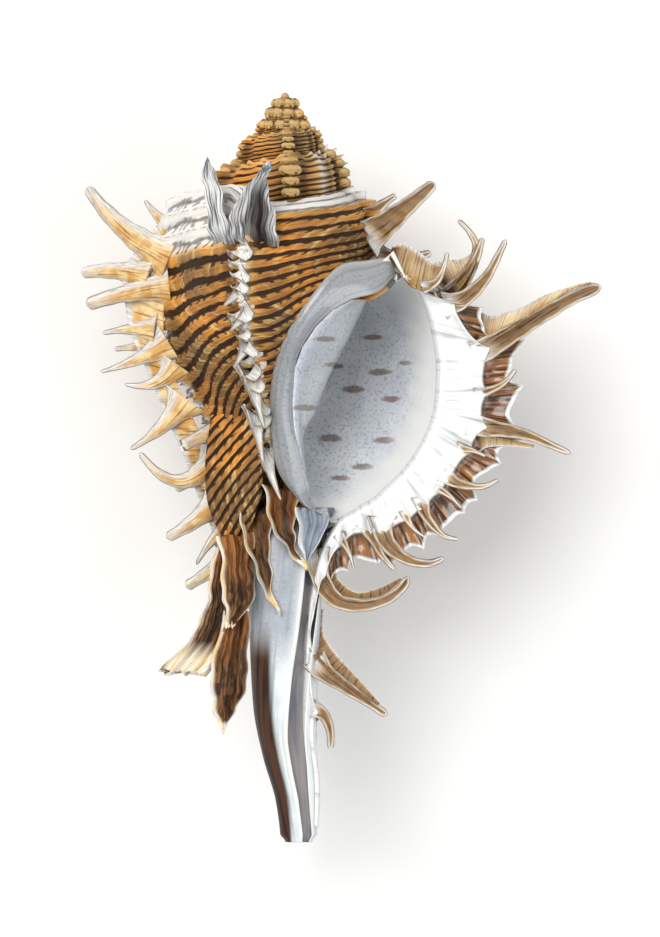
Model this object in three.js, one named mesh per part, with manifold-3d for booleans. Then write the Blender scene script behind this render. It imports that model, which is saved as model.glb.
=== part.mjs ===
// A murex shell, 120 mm from apex to canal tip, lying on its back with the mouth facing up.
// Millimetres: +Z up, +Y towards the apex, the centre of the shell's outline over the origin.
import * as THREE from "three";
import { mergeVertices } from "three/addons/utils/BufferGeometryUtils.js";
import Module from "manifold-3d";

const wasm = await Module();
wasm.setup();

// The coiling axis runs along Y through this point, and the apex is at APEX_Y on it.
const AXIS_X = -8.8;
const AXIS_Z = 31;
const APEX_Y = 60.1;

// Each whorl is this many times larger than the one before it.
const WHORL_GROWTH = 1.65;
const WHORLS = 5.5;
const CORE_RADIUS = 0.45;

// Outer outline of the last whorl at the lip: [radius, depth below the apex].
const OUTLINE = [
  [12.6, 25.4], [17.6, 27.2], [20.3, 30.2], [21.2, 33.4], [21.7, 36.6], [22.0, 39.8],
  [22.0, 43.0], [21.7, 46.2], [21.1, 49.4], [20.3, 52.6], [19.1, 55.8], [17.7, 59.0],
  [16.1, 62.2], [14.3, 65.6], [12.4, 69.0], [10.4, 73.0], [8.2, 78.0], [6.2, 84.0],
];
const FIRST_CORD = 2;
const LAST_CORD = 14;
const CORD_HEIGHT = 0.55;
// A whorl that a later one covers is only made down to this point of the outline, and past its shoulder with
// every second point.
const COVERED_FROM = 9;
const SHOULDER_POINTS = 3;

// The old lips (varices), in degrees back from the mouth: on the last whorl, and on each whorl before it.
const LAST_VARICES = [0, 90, 172, 247];
const EARLIER_VARICES = [0, 90, 184, 275];
const VARIX_SWELL = 0.15;
const VARIX_RISE = 11;
const VARIX_DROP = 4;
// The last whorl widens towards the lip over this many degrees.
const LIP_SPREAD = 0.16;
const LIP_SPREAD_OVER = 50;
const LIP_SPREAD_DEPTHS = [26, 36];
// Where the rings of the surface stand between one varix and the next.
const RING_SHARES = [0, 0.055, 0.14, 0.32, 0.52, 0.71, 0.87];
// Rings nearer than this many degrees to the end of a half turn are left out.
const CLOSE_RING = 2;

const radians = THREE.MathUtils.degToRad;
const smooth = THREE.MathUtils.smoothstep;
const lerp = THREE.MathUtils.lerp;
const point = (x, y, z) => new THREE.Vector3(x, y, AXIS_Z + z);

// A closed mesh as a solid that can be joined and cut.
function solid(geometry) {
  for (const name of ["normal", "uv"]) geometry.deleteAttribute(name);
  const merged = mergeVertices(geometry, 1e-4);
  return new wasm.Manifold(
    new wasm.Mesh({
      numProp: 3,
      vertProperties: new Float32Array(merged.attributes.position.array),
      triVerts: new Uint32Array(merged.index.array),
    }),
  );
}

// Rings of points joined by quads, with a fan over each end.
function loft(rings) {
  const count = rings[0].length;
  const positions = [];
  const index = [];
  const centre = (ring) =>
    ring.reduce((sum, p) => sum.add(p), new THREE.Vector3()).divideScalar(count);
  for (const p of [...rings.flat(), centre(rings[0]), centre(rings.at(-1))]) positions.push(p.x, p.y, p.z);
  const start = rings.length * count;
  for (let i = 0; i < count; i++) {
    const next = (i + 1) % count;
    for (let r = 0; r < rings.length - 1; r++) {
      const a = r * count;
      index.push(a + i, a + next, a + count + next, a + i, a + count + next, a + count + i);
    }
    const last = start - count;
    index.push(start, next, i, start + 1, last + i, last + next);
  }
  const geometry = new THREE.BufferGeometry();
  geometry.setAttribute("position", new THREE.Float32BufferAttribute(positions, 3));
  geometry.setIndex(index);
  const made = solid(geometry);
  if (made.volume() > 0) return made;
  return loft(rings.map((ring) => ring.toReversed()));
}

// How much larger the shell is at an angle than at the lip. Angles are negative before the lip.
const growth = (angle) => WHORL_GROWTH ** (angle / 360);

// Where every varix crosses the shoulder, as angles from the lip.
const VARICES = [];
for (let whorl = 0; whorl <= WHORLS + 1; whorl++)
  for (const back of whorl ? EARLIER_VARICES : LAST_VARICES) VARICES.push(-back - 360 * whorl);

// 1 on the crest of an old lip: a slow rise before it and a quick drop behind it.
function swell(angle) {
  const shares = VARICES.map((varix) => {
    const past = angle - varix;
    return Math.exp(-((past / (past < 0 ? VARIX_RISE : VARIX_DROP)) ** 2));
  });
  return Math.max(...shares);
}

// A point of the coiled surface from an angle and a place on the outline.
function coiled(angle, radius, depth) {
  const size = growth(angle);
  const spread = LIP_SPREAD * smooth(angle, -LIP_SPREAD_OVER, 0) * smooth(depth, ...LIP_SPREAD_DEPTHS);
  const r = radius * size * (1 + VARIX_SWELL * swell(angle) + spread);
  const turn = radians(angle);
  return point(AXIS_X + r * Math.cos(turn), APEX_Y - size * depth, r * Math.sin(turn));
}

// Half a turn of a whorl, filled to the axis.
function halfWhorl(from, to, outline) {
  const [first, last] = [outline[0], outline.at(-1)];
  const angles = new Set([from, to]);
  for (let i = 1; i < VARICES.length; i++)
    for (const share of RING_SHARES) {
      const angle = lerp(VARICES[i], VARICES[i - 1], share);
      if (angle > from + CLOSE_RING && angle < to - CLOSE_RING) angles.add(angle);
    }
  const section = (angle) => [
    coiled(angle, CORE_RADIUS, first[1]),
    ...outline.map(([r, d], i) => {
      const onCord = i >= FIRST_CORD && i <= LAST_CORD;
      const height = onCord ? CORD_HEIGHT * (i % 2 ? -1 : 1) : 0;
      return coiled(angle, r + height, d);
    }),
    coiled(angle, CORE_RADIUS, last[1]),
  ];
  return loft([...angles].sort((a, b) => a - b).map(section));
}

function whorls() {
  const parts = [];
  const covered = OUTLINE.slice(0, COVERED_FROM + 1).filter((_, i) => i < SHOULDER_POINTS || i % 2);
  for (let half = 0; half < WHORLS * 2; half++)
    parts.push(halfWhorl(-180 * (half + 1), -180 * half, half < 2 ? OUTLINE : covered));
  return wasm.Manifold.union(parts);
}

// The rod inside the whorls and the siphonal canal below them: [depth, centre x and z, half width and half
// thickness].
const CANAL = [
  [2, 0, 0, 0.9, 0.9], [12, 0, 0, 2.2, 2.2], [40, 0, 0, 3.2, 3.2], [58, -0.6, 0.6, 4.6, 4.4],
  [70, -0.5, 0.6, 5.6, 5.0], [81, 0, 0.3, 5.8, 4.8], [92, -0.1, 0, 5.4, 4.2],
  [100, 0.1, -0.4, 5.0, 3.8], [107, 0.9, -1.0, 4.3, 3.2], [113, 1.9, -1.7, 3.5, 2.7],
  [120.1, 2.2, -2.6, 2.9, 2.2],
];
const CANAL_SIDES = 12;

function canal() {
  const ring = ([depth, x, z, halfWidth, halfThickness]) =>
    Array.from({ length: CANAL_SIDES }, (_, i) => {
      const a = (i / CANAL_SIDES) * 2 * Math.PI;
      return point(AXIS_X + x + halfWidth * Math.cos(a), APEX_Y - depth, z + halfThickness * Math.sin(a));
    });
  return loft(CANAL.map(ring));
}

// The canal's open slit: [depth, x from the axis, half width, z of its floor].
const SLIT = [
  [66, 6.0, 1.9, 0.0], [72, 4.2, 1.0, 0.2], [81, 3.4, 0.75, 0.3], [92, 2.9, 0.7, 0.2],
  [100, 2.8, 0.65, -0.2], [107, 3.0, 0.6, -0.9], [113, 3.3, 0.55, -1.6], [121, 3.6, 0.5, -2.6],
];
const SLIT_TOP = 9;

function slit() {
  return loft(
    SLIT.map(([depth, x, half, floor]) => {
      const at = (side, z) => point(AXIS_X + x + side * half, APEX_Y - depth, z);
      return [at(-1, SLIT_TOP), at(-1, floor), at(1, floor), at(1, SLIT_TOP)];
    }),
  );
}

// The mouth's edge, clockwise from its top, seen from above: [x, y, z above the axis].
const MOUTH = [
  [9.9, 30.2, 8.5], [12.5, 28.4, 4.5], [14.9, 23.6, 3], [16.2, 17.2, 3], [16.0, 10.8, 3],
  [14.1, 4.4, 3], [10.4, -1.2, 3], [5.6, -5.7, 3], [0.8, -8.7, 3], [-2.4, -8.4, 3.5], [-4.5, -6.5, 4],
  [-5.0, -2.5, 5.2], [-6.6, 2.6, 6.8], [-7.5, 7.9, 8.2], [-7.5, 12.7, 9.8], [-6.6, 17.8, 11.6],
  [-3.4, 22.8, 12.6], [1.1, 26.3, 12.4], [6.1, 26.8, 10.6],
];
// The whorl's hollow inside, point for point with the mouth's edge: [radius, depth] at the lip's size.
const HOLLOW = [
  [15.6, 31.6], [18.0, 32.6], [19.9, 37], [20.2, 43], [19.4, 49], [17.6, 54.5], [14.9, 60.2],
  [11.7, 65], [8.6, 68], [5.8, 68.4], [4.0, 66], [3.6, 62], [3.6, 57], [4.0, 52], [5.0, 47.5],
  [6.8, 43.5], [9.2, 39], [12.0, 35], [13.8, 32.8],
];
const HOLLOW_TURN = 150;
const HOLLOW_RINGS = 8;
// The turn starts slowly. The mouth's shape gives way to the whorl's over the first of these shares of the
// way in, its forward bulge over the second, and the hollow's end narrows from the third on.
const SLOW_START = 1.4;
const SHAPED_BY = 0.42;
const LEVEL_BY = 0.5;
const NARROWS_FROM = 0.6;
const END_NARROWING = 0.25;
// How far before the mouth the cut starts, and how much wider it is there.
const MOUTH_FLARE = [[14, 1.1], [2.5, 1.02]];

// The space inside the mouth: its edge runs straight in and then turns round the axis with the whorl.
function hollow() {
  const count = MOUTH.length;
  const middle = MOUTH.reduce((sum, [x, y]) => [sum[0] + x / count, sum[1] + y / count], [0, 0]);
  const outside = MOUTH_FLARE.map(([forward, scale]) =>
    MOUTH.map(([x, y, z]) => point(lerp(middle[0], x, scale), lerp(middle[1], y, scale), z + forward)),
  );
  const inside = Array.from({ length: HOLLOW_RINGS + 1 }, (_, step) => {
    const share = step / HOLLOW_RINGS;
    const angle = -HOLLOW_TURN * share ** SLOW_START;
    const turned = smooth(share, 0, SHAPED_BY);
    const size = growth(angle) * (1 - END_NARROWING * smooth(share, NARROWS_FROM, 1));
    return MOUTH.map(([x, y, z], i) => {
      const [radius, depth] = HOLLOW[i];
      const r = lerp(x - AXIS_X, radius * size, turned);
      const forward = z * (1 - smooth(share, 0, LEVEL_BY));
      const turn = radians(angle);
      const Y = lerp(y, APEX_Y - depth * growth(angle), turned);
      return point(AXIS_X + r * Math.cos(turn), Y, r * Math.sin(turn) + forward);
    });
  });
  return loft([...outside, ...inside]);
}

// The outer lip from its top to the foot of the canal. Each row: the inner edge's [x, y], the white rim's
// [x, y] and the z above the axis.
const LIP = [
  [[6.5, 32.6], [8.2, 34.2], 8.5], [[9.9, 30.6], [11.6, 28.4], 6.5], [[12.6, 28.3], [16.6, 25.6], 4.6],
  [[14.9, 23.6], [20.0, 21.4], 3.6], [[16.2, 17.2], [21.9, 16.9], 3.4],
  [[16.0, 10.8], [21.6, 10.8], 3.4], [[15.4, 7.6], [20.4, 5.0], 3.4], [[14.1, 4.4], [18.2, 0.9], 3.4],
  [[12.4, 1.4], [16.0, -1.7], 3.4], [[10.4, -1.2], [13.4, -4.7], 3.4], [[8.0, -3.6], [10.7, -7.1], 3.4],
  [[5.6, -5.7], [7.5, -8.6], 3.4], [[2.6, -7.4], [2.4, -9.7], 3.3], [[-0.6, -9.6], [-0.9, -12.6], 3.2],
  [[-3.0, -14.0], [-2.9, -17.4], 3.0], [[-4.6, -21.0], [-4.2, -23.0], 2.6],
  [[-5.2, -27.5], [-5.2, -28.6], 2.4], [[-5.4, -35.0], [-4.9, -35.8], 2.0],
  [[-5.3, -43.0], [-4.6, -43.2], 1.0], [[-4.6, -50.0], [-3.8, -50.2], -0.2],
  [[-4.4, -57.0], [-3.9, -57.4], -1.4],
];
const LIP_STATIONS = 40;
const RIM_RISE = 0.7;
const WEB_BELOW = 1.7;
// The brown frill behind the rim, and the lip's thickness, each at the canal and then along the mouth.
const WEB_WIDTH = [1.1, 3.4];
const WEB_THICKNESS = 1.1;
const LIP_THICKNESS = [1.8, 6.2];
// The lip gives way to the canal's edge between these shares of its length.
const LIP_ENDS = [0.6, 0.8];
const FRILL_STARTS = [0, 0.12];

function lip() {
  const curve = (pick) => new THREE.CatmullRomCurve3(LIP.map(pick));
  const inner = curve(([a, , z]) => point(a[0], a[1], z));
  const rim = curve(([, b, z]) => point(b[0], b[1], z));
  const rings = [];
  for (let i = 0; i <= LIP_STATIONS; i++) {
    const share = i / LIP_STATIONS;
    const [a, b] = [inner.getPoint(share), rim.getPoint(share)];
    const out = b.clone().sub(a).setZ(0).normalize();
    const body = 1 - smooth(share, ...LIP_ENDS);
    const web = lerp(...WEB_WIDTH, body * smooth(share, ...FRILL_STARTS));
    const deep = lerp(...LIP_THICKNESS, body);
    const at = (p, outward, z) => p.clone().addScaledVector(out, outward).add(new THREE.Vector3(0, 0, z));
    rings.push([
      at(a, -0.9, -1.2), at(a, 0.2, 0), at(b, -0.5, RIM_RISE), at(b, 0.3, RIM_RISE - 0.3),
      at(b, 0.5, -WEB_BELOW), at(b, web, -WEB_BELOW - 0.2),
      at(b, web - 0.4, -WEB_BELOW - 0.2 - WEB_THICKNESS), at(a, 0, -deep),
    ]);
  }
  return loft(rings);
}

// The blade that joins the roots of the left varix's spines: [x, y] of its edge and [x, y] of its foot.
const LEFT_BLADE = [
  [[-21.6, 43.4], [-20.0, 38.0]], [[-27.6, 40.4], [-24.0, 35.0]], [[-33.6, 33.6], [-27.0, 30.0]],
  [[-34.8, 29.6], [-28.0, 27.0]], [[-33.8, 22.8], [-28.2, 21.5]], [[-32.4, 18.8], [-27.6, 17.0]],
  [[-29.8, 12.8], [-25.8, 12.6]], [[-27.6, 7.6], [-23.4, 7.6]], [[-24.8, 1.2], [-20.6, 1.6]],
  [[-23.0, -4.0], [-18.6, -4.0]], [[-20.8, -9.4], [-16.6, -9.6]], [[-19.4, -15.4], [-14.6, -15.6]],
  [[-18.0, -20.6], [-13.4, -20.6]],
];
const BLADE_Z = -1.4;
const BLADE_DROP = 1.2;
const FOOT_THICKNESS = 4;
const EDGE_THICKNESS = 0.9;

function leftBlade() {
  return loft(
    LEFT_BLADE.map(([[x0, y0], [x1, y1]]) => {
      const edge = (side) => point(x0, y0, BLADE_Z - BLADE_DROP + (side * EDGE_THICKNESS) / 2);
      const foot = (side) => point(x1, y1, BLADE_Z + (side * FOOT_THICKNESS) / 2);
      return [edge(-1), edge(1), foot(1), foot(-1)];
    }),
  );
}

// The inner lip, a smooth band on the left of the mouth: [outer x, y, z, inner x, y, z] from top to bottom.
const INNER_LIP = [
  [8.6, 33.6, 7.0, 9.4, 31.4, 6.5], [4.6, 33.0, 9.0, 6.2, 28.0, 10.6],
  [-0.2, 32.0, 12.0, 1.4, 26.4, 12.2], [-4.3, 27.6, 13.6, -3.3, 23.0, 12.6],
  [-8.0, 22.2, 12.9, -6.6, 17.9, 11.6], [-10.2, 17.1, 11.1, -7.4, 12.7, 9.8],
  [-11.2, 11.1, 9.2, -7.5, 7.9, 8.2], [-10.9, 4.8, 7.2, -6.5, 2.6, 6.8],
  [-9.9, -0.6, 5.9, -5.0, -2.4, 5.2], [-7.1, -4.7, 5.0, -4.4, -5.8, 4.4],
  [-4.9, -6.6, 5.2, -2.6, -7.4, 4.6], [-2.1, -6.3, 4.9, -1.4, -9.2, 4.0],
];
const INNER_LIP_RISE = 0.8;
const INNER_LIP_DEEP = 3.2;

function innerLip() {
  return loft(
    INNER_LIP.map(([x0, y0, z0, x1, y1, z1]) => {
      const [outer, inner] = [point(x0, y0, z0), point(x1, y1, z1)];
      const between = outer.clone().lerp(inner, 0.6);
      const at = (p, z) => p.clone().add(new THREE.Vector3(0, 0, z));
      return [
        at(outer, -INNER_LIP_DEEP), at(outer, 0), at(between, INNER_LIP_RISE), at(inner, 0.2),
        at(inner, -INNER_LIP_DEEP),
      ];
    }),
  );
}

// A spine is an open fold: its section has a groove between two edges, and it tapers along a bent path.
// Sections are [across, towards the groove's side] in half widths.
const FOLD = [[1, 0.3], [0.55, 0.4], [0, -0.15], [-0.55, 0.4], [-1, 0.3], [-0.7, -0.6], [0.7, -0.6]];
const POINTED = [[1, 0.1], [0, 0.5], [-1, 0.1], [0, -0.7]];
const TAPER = 1.5;

function spine({ base, tip, bow, width, tipWidth, face, section, steps }) {
  const along = tip.clone().sub(base);
  const across = new THREE.Vector3().crossVectors(face, along).normalize();
  const bend = base.clone().lerp(tip, 0.5).addScaledVector(across, bow);
  const path = new THREE.QuadraticBezierCurve3(base, bend, tip);
  const rings = [];
  for (let i = 0; i <= steps; i++) {
    const share = i / steps;
    const middle = path.getPoint(share);
    const forward = path.getTangent(share);
    const side = new THREE.Vector3().crossVectors(face, forward).normalize();
    const up = new THREE.Vector3().crossVectors(forward, side).normalize();
    const half = lerp(tipWidth, width, (1 - share) ** TAPER) / 2;
    const at = ([u, v]) => middle.clone().addScaledVector(side, u * half).addScaledVector(up, v * half);
    rings.push(section.map(at));
  }
  return loft(rings);
}

// The spines of the last lip: [base x, y, tip x, y, bow, base width, tip width, rise of the tip].
const LIP_SPINES_Z = 3;
const LIP_SPINES = [
  [12.8, 25.0, 17.1, 34.3, -0.8, 2.8, 0.7, 2], [16.8, 24.6, 26.7, 36.4, -3.6, 4.4, 0.9, 3],
  [17.0, 27.0, 23.0, 36.9, -2.0, 3.4, 0.8, -1], [17.6, 28.0, 19.0, 39.8, -2.8, 3.6, 0.7, -2],
  [19.8, 20.2, 41.4, 28.8, -0.9, 7.6, 1.7, 2], [21.0, 11.8, 28.2, 15.8, -1.6, 2.8, 0.7, 2],
  [19.8, 7.0, 36.9, 2.2, 0.8, 4.2, 1.0, 1], [18.6, 3.0, 23.0, 1.7, -0.6, 2.2, 0.5, 1],
  [16.6, 0.2, 25.4, -2.0, -1.7, 3.0, 0.8, 2], [14.8, -1.6, 19.5, -6.3, -0.6, 2.4, 0.6, 1],
  [11.8, -3.6, 19.0, -11.4, -1.2, 3.2, 0.7, 2], [9.6, -6.0, 13.4, -11.1, -0.4, 2.2, 0.5, 1],
  [6.4, -7.4, 16.6, -14.4, -3.6, 4.0, 0.9, 2], [2.4, -8.8, 8.8, -16.4, 0.8, 3.2, 0.9, 0],
  [0.2, -11.0, 2.2, -16.2, -0.3, 2.4, 0.5, 0], [-2.8, -14.0, 10.9, -17.4, -10.6, 4.6, 1.6, 2],
  [-5.6, -31.6, 7.5, -39.4, -1.0, 4.4, 1.3, 1], [-5.4, -38.6, -1.5, -44.9, -2.0, 3.0, 1.3, 0],
];
// The spines of the varix on the left, which point away from the axis and a little back.
const LEFT_SPINES_Z = -1;
const LEFT_SPINES = [
  [-27.0, 33.6, -40.6, 45.0, 2.6, 6.2, 1.8, -2], [-24.6, 36.6, -31.4, 43.0, 1.0, 4.4, 0.7, -5],
  [-30.4, 30.4, -41.6, 31.2, 0.6, 4.4, 2.0, -5], [-27.4, 29.0, -40.6, 26.0, -0.8, 4.6, 2.0, 1],
  [-29.4, 22.0, -38.1, 21.5, -0.8, 3.6, 0.7, -3], [-27.6, 19.4, -36.3, 19.0, -0.4, 3.2, 0.8, -7],
  [-27.4, 20.0, -38.4, 15.3, 1.0, 4.4, 0.6, 0], [-26.0, 14.8, -34.6, 13.4, -3.0, 4.2, 0.6, -1],
  [-24.6, 11.0, -33.6, 2.9, 1.4, 5.0, 0.8, 0], [-19.6, 5.8, -25.2, 3.4, -0.4, 2.8, 2.0, 6],
  [-19.4, 2.6, -32.0, 2.0, -6.2, 4.0, 0.9, 2], [-21.0, -1.6, -26.3, -3.6, -0.6, 3.4, 1.2, -6],
  [-17.6, 2.0, -19.5, -8.2, -3.4, 3.4, 0.6, 4], [-18.4, -4.0, -27.8, -11.3, 1.2, 5.0, 1.7, 0],
  [-15.4, -7.4, -23.0, -15.6, -1.6, 4.2, 0.6, 1], [-15.6, -12.4, -24.8, -19.2, 0.6, 3.6, 1.8, -4],
];
// The spines down the middle varix: [base x, y, z, tip x, y, z, bow, base width, tip width].
const MIDDLE_SPINES = [
  [-14.6, 34.4, 12.5, -11.4, 47.8, 15.0, 1.4, 6.8, 0.8],
  [-17.6, 36.0, 11.5, -20.0, 48.4, 12.0, -0.8, 4.0, 0.6],
  [-14.0, 30.4, 14.2, -18.4, 25.6, 17.6, 0.4, 4.4, 0.6],
  [-13.6, 26.4, 14.2, -17.4, 21.6, 17.8, 0.4, 4.2, 0.6],
  [-14.2, 21.6, 12.6, -16.8, 15.8, 17.0, 0.4, 4.0, 0.6],
  [-14.6, 16.4, 10.4, -12.0, 6.2, 13.6, -0.4, 4.4, 0.6],
  [-13.6, 9.6, 7.0, -12.2, 0.8, 10.4, -0.4, 3.8, 0.6],
  [-12.6, 4.4, 5.2, -9.4, -5.2, 8.6, -0.6, 4.2, 0.5],
];
// The broad fronds round the neck and the canal: the middle ones below the last spines, then the old canals.
const FRONDS = [
  [-12.6, -3.0, 5.4, -5.6, -16.0, 8.2, -1.8, 6.0, 1.2],
  [-14.6, -8.4, 5.6, -9.4, -23.2, 7.2, -1.6, 6.4, 1.6],
  [-16.4, -10.2, 5.0, -16.9, -24.8, 6.2, -0.4, 5.6, 3.4],
  [-16.4, -13.6, 1.6, -25.4, -32.6, 1.0, 2.4, 4.0, 7.2],
  [-15.6, -20.4, 2.6, -18.7, -41.6, 1.8, -0.6, 7.2, 3.0],
  [-8.6, -4.6, 4.6, -5.2, -15.6, 5.4, 0.4, 6.0, 1.0],
  [-4.0, -6.0, 3.6, -5.6, -16.2, 4.6, -0.8, 7.6, 1.0],
];
// The spines of the varix underneath. The three longest reach the surface that the shell lies on, and the
// middle of each tip is at REST_Z.
const REST_Z = 0.5 - AXIS_Z;
const BACK_SPINES = [
  [-4.6, 30.6, -16.0, 3.4, 35.4, REST_Z, 0.8, 6.0, 1.9],
  [-13.0, 29.2, -16.0, -20.4, 33.0, REST_Z, -0.8, 5.6, 1.9],
  [-8.6, 25.4, -18.5, -8.0, 27.4, -29.0, 0.4, 4.8, 1.2],
  [-7.2, 20.0, -18.5, -3.0, 20.0, -28.4, -0.8, 4.4, 1.0],
  [-10.2, 14.6, -18.0, -15.0, 13.6, -28.2, 0.8, 4.6, 1.1],
  [-7.6, 9.0, -16.0, -2.4, 6.0, -26.0, -0.8, 4.2, 1.0],
  [-10.0, 3.4, -13.8, -14.2, 0.0, -25.0, 0.8, 4.4, 1.1],
  [-8.4, -1.8, -10.8, -4.0, -6.8, -24.0, 1.2, 4.2, 1.0],
  [-9.0, -9.0, -6.0, -9.6, -21.6, REST_Z, 4.6, 6.0, 1.9],
  [-8.8, -15.2, -2.8, -12.4, -26.6, -16.0, 1.8, 4.6, 1.4],
  [-8.6, -26.0, -2.6, -6.0, -35.6, -12.0, -1.4, 4.0, 1.2],
];
// The varix of the whorl before, right above the mouth.
const RIGHT_SPINES = [
  [4.0, 36.4, 4.6, 15.1, 45.4, 6.4, -0.4, 5.6, 1.9], [3.2, 38.6, 2.0, 9.0, 43.6, -1.0, 0.6, 4.2, 1.0],
  [6.0, 33.0, 2.4, 14.6, 34.4, 0.0, -1.0, 4.6, 1.2],
];

const FORWARD = new THREE.Vector3(0, 0, 1);
// The way that the grooves of the middle varix and of the one underneath face.
const MIDDLE_FACE = new THREE.Vector3(0.5, 0, 1);
const BACK_FACE = new THREE.Vector3(-1, 0, 0);
// A level spine that bends more than this has more rings.
const STRONG_BOW = 2;

// Spines whose path lies nearly level, with the groove up or down.
function levelSpines(rows, baseZ, grooveUp) {
  return rows.map(([x0, y0, x1, y1, bow, width, tipWidth, rise]) =>
    spine({
      base: point(x0, y0, baseZ), tip: point(x1, y1, baseZ + rise), width, tipWidth, section: FOLD,
      bow: grooveUp ? bow : -bow, face: FORWARD.clone().multiplyScalar(grooveUp ? 1 : -1),
      steps: Math.abs(bow) > STRONG_BOW ? 6 : 4,
    }),
  );
}

// Spines given by both ends in space. The groove faces the given way.
function freeSpines(rows, face) {
  return rows.map(([x0, y0, z0, x1, y1, z1, bow, width, tipWidth]) =>
    spine({
      base: point(x0, y0, z0), tip: point(x1, y1, z1), bow, width, tipWidth, face, section: FOLD, steps: 4,
    }),
  );
}

// Blunt knobs on the varices of the spire, smaller towards the apex: [radius, depth, rise in degrees].
const KNOBS = [[19.0, 29.0, 42], [21.4, 35.5, 8], [21.8, 41.5, -8]];
// Where a knob's axis starts and where its base is, as shares of the whorl's radius.
const KNOB_ROOT = 0.72;
const KNOB_BASE = 0.8;
const KNOB_LENGTH = 5.6;
const KNOB_WIDTH = 6.4;
const KNOB_TIP = 3.4;
const SMALLEST_KNOB = 0.1;

function knobs() {
  const made = [];
  const up = new THREE.Vector3(0, 1, 0);
  for (const angle of VARICES.filter((varix) => varix < -360)) {
    const size = growth(angle);
    if (size < SMALLEST_KNOB) continue;
    for (const [radius, depth, rise] of KNOBS) {
      const root = coiled(angle, radius * KNOB_ROOT, depth);
      const base = coiled(angle, radius * KNOB_BASE, depth);
      const outward = base.clone().sub(root).normalize();
      const reach = size * (KNOB_LENGTH + radius * (1 - KNOB_BASE));
      const tip = base.clone().addScaledVector(outward, reach * Math.cos(radians(rise)));
      tip.addScaledVector(up, reach * Math.sin(radians(rise)));
      const face = new THREE.Vector3().crossVectors(up, outward);
      made.push(spine({
        base, tip, face, bow: 0, width: size * KNOB_WIDTH, tipWidth: size * KNOB_TIP, section: POINTED,
        steps: 2,
      }));
    }
  }
  return made;
}

const NUCLEUS_RADIUS = 1.15;

function nucleus() {
  const ball = new THREE.IcosahedronGeometry(NUCLEUS_RADIUS, 1);
  const seat = point(AXIS_X, APEX_Y - NUCLEUS_RADIUS, 0);
  return solid(ball.translate(seat.x, seat.y, seat.z));
}

// The whole shell: everything that grew, joined in one, less the hollow and the canal's slit.
function shell() {
  const grown = wasm.Manifold.union([
    whorls(), canal(), lip(), leftBlade(), innerLip(), nucleus(), ...knobs(),
    ...levelSpines(LIP_SPINES, LIP_SPINES_Z, true), ...levelSpines(LEFT_SPINES, LEFT_SPINES_Z, false),
    ...freeSpines(MIDDLE_SPINES, MIDDLE_FACE), ...freeSpines(FRONDS, FORWARD),
    ...freeSpines(BACK_SPINES, BACK_FACE), ...freeSpines(RIGHT_SPINES, FORWARD),
  ]);
  return grown.subtract(hollow()).subtract(slit());
}

// The largest body of a solid as geometry, without faces too small to see.
const SIMPLER_BY = 0.12;

function geometryOf(made) {
  const bodies = made.asOriginal().simplify(SIMPLER_BY).decompose();
  const whole = bodies.sort((a, b) => b.volume() - a.volume())[0];
  const mesh = whole.getMesh();
  const geometry = new THREE.BufferGeometry();
  geometry.setAttribute("position", new THREE.BufferAttribute(mesh.vertProperties, 3));
  geometry.setIndex(new THREE.BufferAttribute(mesh.triVerts, 1));
  geometry.computeVertexNormals();
  return geometry;
}

const murex = new THREE.Mesh(
  geometryOf(shell()),
  new THREE.MeshStandardMaterial({ color: 0xd9a566, roughness: 0.5, metalness: 0 }),
);
murex.name = "murex_shell";

const part = new THREE.Group();
part.add(murex);

export default part;
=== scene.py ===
"""A murex shell lying on its back on a pale floor, with its mouth up, seen from straight above.

Every surface is worked out with numpy from the way a shell grows: each whorl is the one before it, made
larger by a fixed factor as it turns round the axis. Lengths are in millimetres until a mesh is made, and z
is counted from the axis.
"""

import math

import bpy
import numpy as np
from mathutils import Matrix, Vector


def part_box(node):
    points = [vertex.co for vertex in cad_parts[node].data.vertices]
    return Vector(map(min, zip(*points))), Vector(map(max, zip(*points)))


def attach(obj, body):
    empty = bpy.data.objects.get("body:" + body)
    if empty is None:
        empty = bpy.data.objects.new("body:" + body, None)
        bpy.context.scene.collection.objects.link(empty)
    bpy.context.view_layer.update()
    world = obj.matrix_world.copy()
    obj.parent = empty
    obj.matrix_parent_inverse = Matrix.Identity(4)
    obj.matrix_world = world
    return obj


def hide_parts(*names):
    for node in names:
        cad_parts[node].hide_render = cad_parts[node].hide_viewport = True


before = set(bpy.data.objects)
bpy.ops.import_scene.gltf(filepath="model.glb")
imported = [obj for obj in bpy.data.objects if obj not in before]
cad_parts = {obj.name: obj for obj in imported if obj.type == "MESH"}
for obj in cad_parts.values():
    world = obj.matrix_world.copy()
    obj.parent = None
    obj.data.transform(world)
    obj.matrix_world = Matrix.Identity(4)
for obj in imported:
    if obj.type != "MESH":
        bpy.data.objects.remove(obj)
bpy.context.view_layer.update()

MM = 0.001
NODE = "murex_shell"
LOWEST, HIGHEST = (np.array(corner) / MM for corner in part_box(NODE))

# The coiling axis runs along Y through this point, with the apex at APEX_Y.
AXIS_X = -8.8
AXIS_Z = 31.0
APEX_Y = HIGHEST[1]

# Each whorl is this many times larger than the one before it.
WHORL_GROWTH = 1.65
WHORLS = 5.5
CORE_RADIUS = 0.45

# Outer outline of the last whorl at the lip: radius and depth below the apex.
OUTLINE = [
    (12.6, 25.4), (17.6, 27.2), (20.3, 30.2), (21.2, 33.4), (21.7, 36.6), (22, 39.8), (22, 43), (21.7, 46.2),
    (21.1, 49.4), (20.3, 52.6), (19.1, 55.8), (17.7, 59), (16.1, 62.2), (14.3, 65.6), (12.4, 69), (10.4, 73),
    (8.2, 78), (6.2, 84),
]
# Below this depth the next whorl covers a whorl.
COVERED_DEPTH = 52.6

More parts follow.
